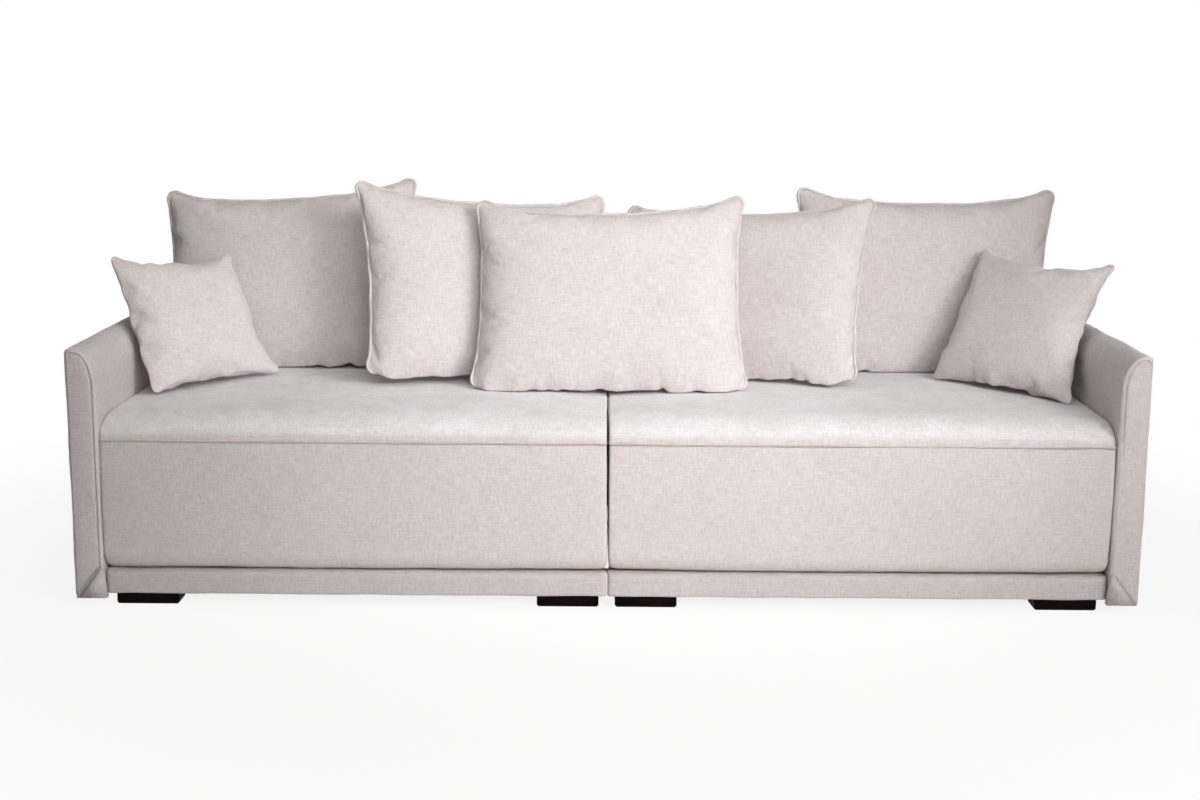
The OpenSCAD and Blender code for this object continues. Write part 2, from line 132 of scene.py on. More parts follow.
fade.inputs["To Min"].default_value = 0.86
fade.inputs["To Max"].default_value = 1.0
links.new(from_middle.outputs["Value"], fade.inputs["Value"])
glow_share = nodes.new("ShaderNodeMath")
glow_share.operation = "MULTIPLY"
links.new(fade.outputs[0], glow_share.inputs[1])
floor_mix = nodes.new("ShaderNodeMixShader")
floor_out = nodes.new("ShaderNodeOutputMaterial")
links.new(seen_directly(nodes, links), glow_share.inputs[0])
links.new(glow_share.outputs[0], floor_mix.inputs[0])
links.new(shadowed.outputs[0], floor_mix.inputs[1])
links.new(glow.outputs[0], floor_mix.inputs[2])
links.new(floor_mix.outputs[0], floor_out.inputs[0])
floor_mesh.materials.append(floor_white)


def soft_lamp(name, place, aim, width, height, power, tint, spread):
    lamp_data = bpy.data.lights.new(name, "AREA")
    lamp_data.shape = "RECTANGLE"
    lamp_data.size, lamp_data.size_y = width, height
    lamp_data.energy = power
    lamp_data.color = tint
    lamp_data.spread = math.radians(spread)
    lamp = bpy.data.objects.new(name, lamp_data)
    lamp.location = place
    lamp.rotation_euler = (Vector(aim) - Vector(place)).to_track_quat("-Z", "Y").to_euler()
    scene.collection.objects.link(lamp)


soft_lamp("right_lamp", (2.6, -2.6, 1.8), (0.2, -0.2, 0.5), 1.6, 1.6, 8.2, (1, 0.99, 0.99), 80)
soft_lamp("key_lamp", (2.2, -3.0, 2.0), (-0.2, -0.1, 0.6), 1.6, 1.6, 7.0, (1, 1, 1), 50)
soft_lamp("front_lamp", (1.0, -3.4, 2.0), (0.2, -0.2, 0.5), 2.0, 1.6, 6.0, (0.96, 1, 1), 50)
soft_lamp("left_lamp", (-0.4, -3.6, 2.4), (-0.6, 0.0, 0.7), 2.0, 1.5, 1.8, (1, 1, 1), 40)
soft_lamp("top_lamp", (0.0, -0.6, 3.0), (0.0, 0.0, 0.4), 3.0, 1.8, 20.5, (1, 1, 0.98), 180)


# Upholstery cloth: pale warm beige chenille, woven from slubby yarn, with a short nap that lies
# in soft lighter and darker patches, painted stronger on upward faces as painted sheen; the seats'
# tops are painted lighter and cooler as painted sheen. The cord of the seams and the plinths are a
# tone darker as painted shade. Each cloth map runs in metres.
def chenille(name, base, patch_seed, painted_top_sheen=None):
    material, nodes, links = new_material(name)
    shader = nodes["Principled BSDF"]
    shader.inputs["Roughness"].default_value = 0.9
    shader.inputs["Specular IOR Level"].default_value = 0.25
    shader.inputs["Sheen Weight"].default_value = 0.2
    shader.inputs["Sheen Roughness"].default_value = 0.45
    shader.inputs["Sheen Tint"].default_value = (0.92, 0.97, 1, 1)
    cloth_map = nodes.new("ShaderNodeUVMap")
    cloth_map.uv_map = "cloth"

    def yarn(across, along, level):
        """Streaks of thicker and thinner yarn, so many to the metre across and along."""
        stretch = nodes.new("ShaderNodeMapping")
        stretch.inputs["Scale"].default_value = (across, along, 1)
        stretch.inputs["Location"].default_value = (level, patch_seed, 0)
        streaks = nodes.new("ShaderNodeTexNoise")
        streaks.inputs["Scale"].default_value = 1
        streaks.inputs["Detail"].default_value = 3
        streaks.inputs["Roughness"].default_value = 0.6
        links.new(cloth_map.outputs[0], stretch.inputs[0])
        links.new(stretch.outputs[0], streaks.inputs["Vector"])
        return streaks.outputs["Factor"] if "Factor" in streaks.outputs else streaks.outputs["Fac"]

    def blend(kind, first, second):
        joined = nodes.new("ShaderNodeMath")
        joined.operation = kind
        links.new(first, joined.inputs[0])
        if isinstance(second, float):
            joined.inputs[1].default_value = second
        else:
            links.new(second, joined.inputs[1])
        return joined.outputs[0]

    warp = yarn(250, 42, 3)
    weft = yarn(38, 230, 7)
    weave = blend("ADD", warp, weft)
    fine_warp = yarn(1250, 160, 11)
    fine_weft = yarn(160, 1250, 17)
    fine = blend("ADD", fine_warp, fine_weft)

    def nap(scale, distortion, offset):
        """Soft patches where the nap lies another way; below, they are painted stronger on upward faces
        as painted sheen.
        """
        shift = nodes.new("ShaderNodeMapping")
        shift.inputs["Location"].default_value = (patch_seed + offset, 2 * patch_seed, offset)
        patches = nodes.new("ShaderNodeTexNoise")
        patches.inputs["Scale"].default_value = scale
        patches.inputs["Detail"].default_value = 4
        patches.inputs["Roughness"].default_value = 0.55
        patches.inputs["Distortion"].default_value = distortion
        links.new(cloth_map.outputs[0], shift.inputs[0])
        links.new(shift.outputs[0], patches.inputs["Vector"])
        return patches.outputs[0]

    lying = blend("ADD", nap(4.5, 0.4, 0), nap(15, 0.8, 5))
    centred = blend("SUBTRACT", lying, 1.0)
    # The patches are painted stronger on faces that look up: partly the nap's own tone, partly painted
    # sheen of the nap catching light from above.
    facing = nodes.new("ShaderNodeNewGeometry")
    upward = nodes.new("ShaderNodeSeparateXYZ")
    links.new(facing.outputs["Normal"], upward.inputs[0])
    upward_sheen_share = nodes.new("ShaderNodeMapRange")
    upward_sheen_share.inputs["From Min"].default_value = 0.2
    upward_sheen_share.inputs["From Max"].default_value = 0.95
    upward_sheen_share.inputs["To Min"].default_value = 0.28
    upward_sheen_share.inputs["To Max"].default_value = 1.0
    links.new(upward.outputs["Z"], upward_sheen_share.inputs["Value"])
    strength = blend("MULTIPLY", centred, upward_sheen_share.outputs[0])
    half_lying = blend("ADD", strength, 0.5)
    # Darker patches are warmer and lighter ones cooler: partly tone, partly painted sheen.
    nap_tone_sheen_ramp = nodes.new("ShaderNodeValToRGB")
    nap_tone_sheen_ramp.color_ramp.elements[0].position = 0.30
    nap_tone_sheen_ramp.color_ramp.elements[1].position = 0.70
    nap_tone_sheen_ramp.color_ramp.elements[0].color = (base[0] * 0.925, base[1] * 0.915, base[2] * 0.905, 1)
    nap_tone_sheen_ramp.color_ramp.elements[1].color = (base[0] * 1.035, base[1] * 1.05, base[2] * 1.065, 1)
    links.new(half_lying, nap_tone_sheen_ramp.inputs[0])
    cloth_colour = nap_tone_sheen_ramp.outputs[0]
    # Painted sheen: on faces that look up, the cloth colour is painted lighter and cooler, standing in
    # for the sheen of the nap seen from above.
    if painted_top_sheen:
        top_sheen_paint = nodes.new("ShaderNodeMix")
        top_sheen_paint.data_type = "RGBA"
        top_sheen_paint.blend_type = "MULTIPLY"
        top_sheen_paint.inputs["B"].default_value = (*[top / plain for top, plain in zip(painted_top_sheen, base)], 1)
        level = nodes.new("ShaderNodeMapRange")
        level.interpolation_type = "SMOOTHSTEP"
        level.inputs["From Min"].default_value = 0.18
        level.inputs["From Max"].default_value = 0.80
        links.new(upward.outputs["Z"], level.inputs["Value"])
        links.new(level.outputs[0], top_sheen_paint.inputs["Factor"])
        links.new(cloth_colour, top_sheen_paint.inputs["A"])
        cloth_colour = top_sheen_paint.outputs["Result"]

    weave_ramp = nodes.new("ShaderNodeValToRGB")
    weave_ramp.color_ramp.elements[0].position = 0.36
    weave_ramp.color_ramp.elements[1].position = 0.64
    weave_ramp.color_ramp.elements[0].color = (0.80, 0.785, 0.77, 1)
    weave_ramp.color_ramp.elements[1].color = (1, 1, 1, 1)
    half_weave = blend("MULTIPLY", weave, 0.5)
    links.new(half_weave, weave_ramp.inputs[0])
    tint = nodes.new("ShaderNodeMix")
    tint.data_type = "RGBA"
    tint.blend_type = "MULTIPLY"
    tint.inputs["Factor"].default_value = 1
    links.new(cloth_colour, tint.inputs["A"])
    links.new(weave_ramp.outputs[0], tint.inputs["B"])
    links.new(tint.outputs["Result"], shader.inputs["Base Color"])

    relief = blend("ADD", weave, fine)
    bump = nodes.new("ShaderNodeBump")
    bump.inputs["Strength"].default_value = 0.5
    bump.inputs["Distance"].default_value = 0.0012
    links.new(relief, bump.inputs["Height"])
    links.new(bump.outputs[0], shader.inputs["Normal"])
    return material


sofa_cloth = chenille("sofa_chenille", (0.72, 0.65, 0.64), 1.7)
# The seam cord's cloth is a tone darker as painted shade, the shade under and beside a welt.
shaded_seam_cloth = chenille("shaded_seam_chenille", (0.58, 0.51, 0.49), 2.9)
# The plinths' cloth is a tone darker as painted shade, the shade under the seats.
shaded_plinth_cloth = chenille("shaded_plinth_chenille", (0.63, 0.565, 0.555), 3.7)
# The seats' cloth has its tops painted lighter and cooler as painted sheen.
seat_cloth_lit_on_top = chenille("seat_chenille_lit_on_top", (0.72, 0.65, 0.64), 2.9, (0.805, 0.782, 0.795))


# Arms: slim upright slabs, padded and covered. The inner face rolls over the top to the outer
# side, and a seam is drawn in just inside the front edge of that roll.
def lay_cloth(mesh):
    """Cloth map in metres: each face takes the two axes that it faces least."""
    if "cloth" in mesh.uv_layers:
        mesh.uv_layers.remove(mesh.uv_layers["cloth"])
    layer = mesh.uv_layers.new(name="cloth")
    corners = np.array([v.co for v in mesh.vertices])
    picks = {0: (1, 2), 1: (0, 2), 2: (0, 1)}
    flat = np.zeros((len(mesh.loops), 2), np.float32)
    for face in mesh.polygons:
        axis = int(np.argmax(np.abs(np.array(face.normal))))
        for loop in face.loop_indices:
            flat[loop] = corners[mesh.loops[loop].vertex_index][list(picks[axis])]
    layer.data.foreach_set("uv", flat.ravel())


def finish_piece(obj, material, body, nodes=()):
    obj.data.materials.clear()
    obj.data.materials.append(material)
    for face in obj.data.polygons:
        face.use_smooth = True
    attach(obj, body)
    if nodes:
        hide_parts(*nodes)


def skin(name, rings):
    """Closed surface through rings of equally many points, each end filled with triangles."""
    count = len(rings[0])
    points = [tuple(p) for ring in rings for p in ring]
    faces = []
    for k in range(len(rings) - 1):
        for i in range(count):
            j = (i + 1) % count
            faces.append((k * count + i, k * count + j, (k + 1) * count + j, (k + 1) * count + i))
    faces += [tuple(range(count)), tuple(range(len(points) - count, len(points)))]
    mesh = bpy.data.meshes.new(name)
    mesh.from_pydata(points, [], faces)
    solid = bmesh.new()
    solid.from_mesh(mesh)
    caps = [face for face in solid.faces if len(face.verts) > 4]
    bmesh.ops.triangulate(solid, faces=caps, ngon_method="BEAUTY")
    bmesh.ops.recalc_face_normals(solid, faces=solid.faces)
    solid.to_mesh(mesh)
    solid.free()
    obj = bpy.data.objects.new(name, mesh)
    scene.collection.objects.link(obj)
    return obj


def inset_loop(loop, inset):
    """The closed outline drawn in by the inset along its own normals."""
    ahead, behind = np.roll(loop, -1, axis=0), np.roll(loop, 1, axis=0)
    along = ahead - behind
    along /= np.linalg.norm(along, axis=1)[:, None]
    turning = np.sum(loop[:, 0] * ahead[:, 1] - ahead[:, 0] * loop[:, 1])
    return loop + inset * np.sign(turning) * np.stack([-along[:, 1], along[:, 0]], axis=1)


def slimmed(loop, depth):
    """The loop drawn in towards its own upright middle line, for a slim slab."""
    middle = (loop[:, 0].min() + loop[:, 0].max()) / 2
    half = (loop[:, 0].max() - loop[:, 0].min()) / 2
    low_end, high_end = loop[:, 1].min(), loop[:, 1].max()
    drawn = loop.copy()
    drawn[:, 0] = middle + (loop[:, 0] - middle) * (1 - depth / half)
    drawn[:, 1] = low_end + depth + (loop[:, 1] - low_end) * (1 - 2 * depth / (high_end - low_end))
    return drawn


def even_loop(points, step):
    """Points at equal steps along a closed outline."""
    outline = np.vstack([points, points[:1]])
    lengths = np.concatenate([[0], np.cumsum(np.linalg.norm(np.diff(outline, axis=0), axis=1))])
    count = int(round(lengths[-1] / step))
    marks = np.linspace(0, lengths[-1], count, endpoint=False)
    return np.stack([np.interp(marks, lengths, outline[:, k]) for k in (0, 1)], axis=1)


def quarter(centre, radii, start, end, steps):
    turn = np.radians(np.linspace(start, end, steps + 1))
    return np.stack([centre[0] + radii[0] * np.cos(turn), centre[1] + radii[1] * np.sin(turn)], axis=1)


def rounded_corner(a, b, a_way, b_way, radius, steps):
    """Rounds the corner at a, b of an outline that runs clockwise. The ways point out of it."""
    start = {(-1, -1): 270, (-1, 1): 180, (1, 1): 90, (1, -1): 0}[a_way, b_way]
    return quarter((a - a_way * radius, b - b_way * radius), (radius, radius), start, start - 90, steps)


def lumps(obj, depth, size, seed, stretch=(1, 1, 1)):
    """Soft unevenness of padding under cloth, along the normals."""
    mesh = obj.data
    scale = Vector(stretch) / size
    moved = [v.co + v.normal * (depth * noise.noise(Vector((v.co.x * scale.x + seed, v.co.y * scale.y,
             v.co.z * scale.z)))) for v in mesh.vertices]
    mesh.vertices.foreach_set("co", np.array(moved, np.float32).ravel())
    mesh.update()


def round_over(low, high, radius, steps, spacing):
    """Stations (place, inset) from low to high with a quarter round of radius at each end."""
    bends = [math.radians(90 * i / steps) for i in range(steps + 1)]
    start = [(low + radius * (1 - math.sin(b)), radius * (1 - math.cos(b))) for b in reversed(bends)]
    between = int((high - low - 2 * radius) / spacing)
    middle = [(low + radius + (high - low - 2 * radius) * i / between, 0.0) for i in range(1, between)]
    end = [(low + high - place, inset) for place, inset in reversed(start)]
    return start + middle + end


arm_roll_w, arm_roll_h = 0.056, 0.084
arm_outer_r = 0.009
arm_foot_r = 0.009
arm_edge_r = 0.006
arm_front_bulge = 0.002
arm_bulge_reach = 0.022
arm_seam_depth = 0.0050
arm_seam_top = 0.008
arm_seam_foot = {"left": (0.07, 0.09), "right": (0.36, 0.46)}
arm_point_gap = 0.007
arm_ring_gap = 0.02
arm_least_inset = 0.0001

# Steps in from the edge of an arm's end, each with its share of the seam's depth.
arm_end_steps = ((0.031, 0), (0.022, 0), (0.0145, 0), (0.0122, 0.15), (0.0108, 0.9),
                 (0.0098, 1), (0.0088, 0.9), (0.0076, 0.15), (0.0066, 0))


def arm_outline(low, high):
    return np.vstack([
        rounded_corner(low.x, low.z, -1, -1, arm_foot_r, 3),
        quarter((low.x + arm_roll_w, high.z - arm_roll_h), (arm_roll_w, arm_roll_h), 180, 90, 20),
        rounded_corner(high.x, high.z, 1, 1, arm_outer_r, 6),
        rounded_corner(high.x, low.z, 1, -1, arm_foot_r, 3)])


def arm_end(low, high, outline, face, outward, seam_foot):
    """Rings that close one end of an arm, from its middle to its edge, with the seam drawn in."""
    fades, full = seam_foot
    rings = []
    for inset, groove in arm_end_steps:
        ring = slimmed(outline, inset)
        swell = arm_front_bulge * min(1, inset / arm_bulge_reach) ** 0.5
        ends = []
        for x, z in ring:
            on_seam = x < (low.x + high.x) / 2 or z > high.z - inset - arm_seam_top
            above_foot = min(1, max(0, (z - fades) / (full - fades)))
            sink = arm_seam_depth * groove * on_seam * above_foot
            ends.append((x, face + outward * (swell - sink), z))
        rings.append(ends)
    return rings


def welt_tree():
    """Geometry nodes: a round cord along every edge of the mesh."""
    tree = bpy.data.node_groups.new("welt_cord", "GeometryNodeTree")
    tree.interface.new_socket("Geometry", in_out="INPUT", socket_type="NodeSocketGeometry")
    tree.interface.new_socket("Radius", in_out="INPUT", socket_type="NodeSocketFloat")
    tree.interface.new_socket("Sides", in_out="INPUT", socket_type="NodeSocketInt")
    tree.interface.new_socket("Cloth", in_out="INPUT", socket_type="NodeSocketMaterial")
    tree.interface.new_socket("Geometry", in_out="OUTPUT", socket_type="NodeSocketGeometry")
    given = tree.nodes.new("NodeGroupInput")
    made = tree.nodes.new("NodeGroupOutput")
    line = tree.nodes.new("GeometryNodeMeshToCurve")
    ring = tree.nodes.new("GeometryNodeCurvePrimitiveCircle")
    tube = tree.nodes.new("GeometryNodeCurveToMesh")
    tube.inputs["Fill Caps"].default_value = True
    real = tree.nodes.new("GeometryNodeRealizeInstances")
    cover = tree.nodes.new("GeometryNodeSetMaterial")
    tree.links.new(given.outputs["Geometry"], line.inputs[0])
    tree.links.new(given.outputs["Radius"], ring.inputs["Radius"])
    tree.links.new(given.outputs["Sides"], ring.inputs["Resolution"])
    tree.links.new(line.outputs[0], tube.inputs["Curve"])
    tree.links.new(ring.outputs["Curve"], tube.inputs["Profile Curve"])
    tree.links.new(tube.outputs[0], real.inputs[0])
    tree.links.new(real.outputs[0], cover.inputs["Geometry"])
    tree.links.new(given.outputs["Cloth"], cover.inputs["Material"])
    tree.links.new(cover.outputs[0], made.inputs[0])
    return tree


cord_tree = welt_tree()


def cord_piece(name, paths, radius, material, body, sides=10):
    """A covered cord along each path, a list of points; a path may be closed."""
    points, edges = [], []
    for path, closed in paths:
        first = len(points)
        points += [tuple(p) for p in path]
        edges += [(first + i, first + i + 1) for i in range(len(path) - 1)]
        if closed:
            edges.append((len(points) - 1, first))
    mesh = bpy.data.meshes.new(name + "_line")
    mesh.from_pydata(points, edges, [])
    line = bpy.data.objects.new(name + "_line", mesh)
    scene.collection.objects.link(line)
    modifier = line.modifiers.new("cord", "NODES")
    modifier.node_group = cord_tree
    ids = {item.name: item.identifier for item in cord_tree.interface.items_tree
           if item.in_out == "INPUT"}
    modifier[ids["Radius"]] = radius
    modifier[ids["Sides"]] = sides
    modifier[ids["Cloth"]] = material
    made = bpy.data.meshes.new_from_object(line.evaluated_get(bpy.context.evaluated_depsgraph_get()))
    bpy.data.objects.remove(line)
    obj = bpy.data.objects.new(name, made)
    scene.collection.objects.link(obj)
    lay_cloth(made)
    finish_piece(obj, material, body)
    return obj


for side, turn in (("left", -1), ("right", 1)):
    low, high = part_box("arm_right")
    outline = even_loop(arm_outline(low, high), arm_point_gap)
    rings = arm_end(low, high, outline, low.y, -1, arm_seam_foot[side])
    for place, inset in round_over(low.y, high.y, arm_edge_r, 4, arm_ring_gap):
        rings.append([(x, place, z) for x, z in slimmed(outline, max(inset, arm_least_inset))])
    rings += reversed(arm_end(low, high, outline, high.y, 1, arm_seam_foot[side]))
    arm = skin(f"upholstered_arm_{side}", [[(turn * x, y, z) for x, y, z in ring] for ring in rings])
    lumps(arm, depth=0.0022, size=0.16, seed=3 * turn)
    lumps(arm, depth=0.0008, size=0.035, seed=5 * turn)
    lumps(arm, depth=0.0012, size=0.075, seed=9 * turn, stretch=(1, 1, 0.2))
    lay_cloth(arm.data)
    finish_piece(arm, sofa_cloth, "carcass", [f"arm_{side}"])


# Corner folds: at the foot of each arm the cover is folded up over its front, cut to a mitre and
# sewn down along the slant with a thin corded seam.
fold_rise = 0.078
fold_side_rise = 0.052
fold_reach = 0.007
fold_top_w = 0.0095
fold_clear = 0.001
fold_tip_h = 0.004
fold_tip_in = 0.006
fold_proud = 0.0068
fold_lean = 0.0016
fold_depth = 0.012
fold_edge_r = 0.0012
undercut = 0.012
undercut_from = 0.02
undercut_above = 0.06
mitre_seam_r = 0.0018
mitre_seam_sunk = 0.0002


def fold_face(low, z):
    """Where the face of the fold stands at this height. It leans back a little towards its top."""
    return low.y - fold_proud + fold_lean * (z - low.z) / fold_rise


for side, turn in (("left", -1), ("right", 1)):
    low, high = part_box("arm_right")
    fold = bmesh.new()
    outline = [(low.x - fold_reach, low.z + fold_clear),
               (high.x - fold_tip_h, low.z + fold_clear),
               (high.x - fold_tip_in, low.z + fold_tip_h),
               (low.x + fold_top_w, low.z + fold_rise),
               (low.x + fold_clear, low.z + fold_rise + fold_tip_h),
               (low.x - fold_clear, low.z + fold_side_rise)]
    front = [fold.verts.new((turn * x, fold_face(low, z), z)) for x, z in outline]
    rear = [fold.verts.new((turn * (x - undercut * (x > low.x + undercut_from)), low.y + fold_depth,
                            z - undercut * (z > low.z + undercut_above))) for x, z in outline]
    fold.faces.new(front)
    fold.faces.new(rear[::-1])
    for k in range(len(outline)):
        after = (k + 1) % len(outline)
        fold.faces.new((front[after], front[k], rear[k], rear[after]))
    bmesh.ops.recalc_face_normals(fold, faces=fold.faces)
    bmesh.ops.bevel(fold, geom=fold.edges[:], offset=fold_edge_r, segments=2, affect="EDGES")
    mesh = bpy.data.meshes.new(f"arm_corner_fold_{side}")
    fold.to_mesh(mesh)
    fold.free()
    flap = bpy.data.objects.new(f"arm_corner_fold_{side}", mesh)
    scene.collection.objects.link(flap)
    lay_cloth(mesh)
    finish_piece(flap, sofa_cloth, "carcass")
    slant = [(turn * x, fold_face(low, z) + mitre_seam_sunk, z) for x, z in outline[2:4]]
    # The mitre seam's cord is painted a tone darker as painted shade.
    cord_piece(f"arm_mitre_seam_{side}", [(slant, False)], mitre_seam_r, shaded_seam_cloth,
               "carcass")


# Plinths: covered boards under the seats, with a rounded upper edge and rounded ends. They are
# set back a little, so the seat throws a dark line on them.
plinth_top_r = 0.014
plinth_end_r = 0.012
plinth_foot_r = 0.003
plinth_rear_r = 0.002
plinth_point_gap = 0.005
plinth_ring_gap = 0.016
for side, turn in (("left", -1), ("right", 1)):
    low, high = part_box("plinth_right")
    section = even_loop(np.vstack([
        rounded_corner(low.y, high.z, -1, 1, plinth_top_r, 5),
        rounded_corner(high.y, high.z, 1, 1, plinth_rear_r, 2),
        rounded_corner(high.y, low.z, 1, -1, plinth_rear_r, 2),
        rounded_corner(low.y, low.z, -1, -1, plinth_foot_r, 3)]), plinth_point_gap)
    rings = []
    for place, inset in round_over(low.x, high.x, plinth_end_r, 5, plinth_ring_gap):
        shrunk = section.copy()
        shrunk[:, 0] += inset * np.clip((high.y - section[:, 0]) / (high.y - low.y), 0, 1)
        rings.append([(turn * place, y, z) for y, z in shrunk])
    plinth = skin(f"plinth_cover_{side}", rings)
    lumps(plinth, depth=0.0016, size=0.09, seed=11 * turn, stretch=(1, 1, 0.5))
    lay_cloth(plinth.data)
    # The plinth cover takes the cloth painted darker as painted shade.
    finish_piece(plinth, shaded_plinth_cloth, "carcass", [f"plinth_{side}"])


# Seats: deep upholstered boxes, one to a module. The cover is taut and crowned on top, with a
# soft roll over a welt along the front, rounded ends and a full lower edge over the plinth.
seat_roll_h = 0.052
seat_roll_d = 0.110
seat_lower_r = 0.040
seat_end_r = 0.008
seat_rear_r = 0.032
seat_crown = 0.012
seat_corner_r = 0.016
seat_front_bow = 0.0045
seat_welt_r = 0.0026
seat_welt_run = 0.12
seat_welt_climb = 0.05
seat_welt_wander = 0.0012
seat_point_gap = 0.011
seat_ring_gap = 0.014
hollow_rim = 0.006
rear_opening_top = 0.161

# The welt draws the cover in, and the cloth gathers by it, most near the middle of the sofa.
seat_front_zone = 0.06
pinch_depth = 0.0022
pinch_half_h = 0.0055
gather_depth = 0.0036
gather_least = 0.35
gather_spread = 0.22
gather_clear = 0.02
gather_fade_down, gather_fade_up = 0.035, 0.03
gathers_per_metre = 40


def seat_section(low, high, x_share):
    """Loop of (y, z) across one seat; x_share runs from -1 to 1 along it."""
    swell = 1 - abs(x_share) ** 4
    from_end = (1 - abs(x_share)) * (high.x - low.x) / 2
    lift = seat_corner_r - math.sqrt(seat_corner_r ** 2 - max(0, seat_corner_r - from_end) ** 2)
    edge_top = high.z - seat_crown
    top = edge_top + seat_crown * swell
    face = low.y + seat_front_bow * (1 - swell)
    heights = np.linspace(low.z + lift + seat_lower_r, edge_top - seat_roll_h, 40)
    middle = (heights - heights[0]) / (heights[-1] - heights[0]) * 2 - 1
    front = np.stack([face + seat_front_bow * middle ** 2, heights], axis=1)
    face_edge = face + seat_front_bow
    return np.vstack([
        rounded_corner(face_edge, low.z + lift, -1, -1, seat_lower_r, 12)[:-1],
        front,
        quarter((face_edge + seat_roll_d, edge_top - seat_roll_h),
                (seat_roll_d, top - edge_top + seat_roll_h), 180, 90, 24)[1:],
        rounded_corner(high.y, top, 1, 1, seat_rear_r, 8),
        rounded_corner(high.y, low.z, 1, -1, seat_rear_r, 8)])


def resampled(loop, count):
    """The closed loop with so many points instead."""
    marks = np.linspace(0, len(loop), count, endpoint=False)
    closed = np.vstack([loop, loop[:1]])
    return np.stack([np.interp(marks, np.arange(len(loop) + 1), closed[:, k]) for k in (0, 1)], axis=1)


def gather_along_welt(mesh, low, seam_z, turn):
    """Draws the cover in under the welt and gathers the cloth on both sides of it."""
    points = np.array([v.co for v in mesh.vertices])
    normals = np.array([v.normal for v in mesh.vertices])
    near_front = np.clip(1 - (points[:, 1] - low.y) / seat_front_zone, 0, 1)
    pinch = np.exp(-((points[:, 2] - seam_z) / pinch_half_h) ** 2) * near_front
    points -= normals * (pinch_depth * pinch)[:, None]
    below, above = seam_z - points[:, 2], points[:, 2] - seam_z
    under = np.clip(below / gather_clear, 0, 1) * np.exp(-np.clip(below, 0, 1) / gather_fade_down)
    over = np.clip(above / gather_clear, 0, 1) * np.exp(-np.clip(above, 0, 1) / gather_fade_up)
    from_middle = abs(points[:, 0]) - low.x
    strength = gather_least + (1 - gather_least) * np.exp(-(from_middle / gather_spread) ** 2)
    waves = np.array([noise.noise(Vector((x * gathers_per_metre + 5 * turn, 0.3, z * 3)))
                      for x, z in points[:, [0, 2]]])
    points += normals * (gather_depth * strength * waves * (under + over) * near_front)[:, None]
    mesh.vertices.foreach_set("co", points.astype(np.float32).ravel())
    mesh.update()


def cut_box(obj, low, high):
    """Takes a box out of the piece."""
    cutter_mesh = bpy.data.meshes.new("cutter")
    cube = bmesh.new()
    bmesh.ops.create_cube(cube, size=1)
    for vertex in cube.verts:
        vertex.co = [low[k] + (high[k] - low[k]) * (vertex.co[k] + 0.5) for k in range(3)]
    cube.to_mesh(cutter_mesh)
    cube.free()
    cutter = bpy.data.objects.new("cutter", cutter_mesh)
    scene.collection.objects.link(cutter)
    modifier = obj.modifiers.new("hollow", "BOOLEAN")
    modifier.operation = "DIFFERENCE"
    modifier.object = cutter
    modifier.solver = "EXACT"
    carved = bpy.data.meshes.new_from_object(obj.evaluated_get(bpy.context.evaluated_depsgraph_get()))
    obj.modifiers.remove(modifier)
    obj.data = carved
    bpy.data.objects.remove(cutter)


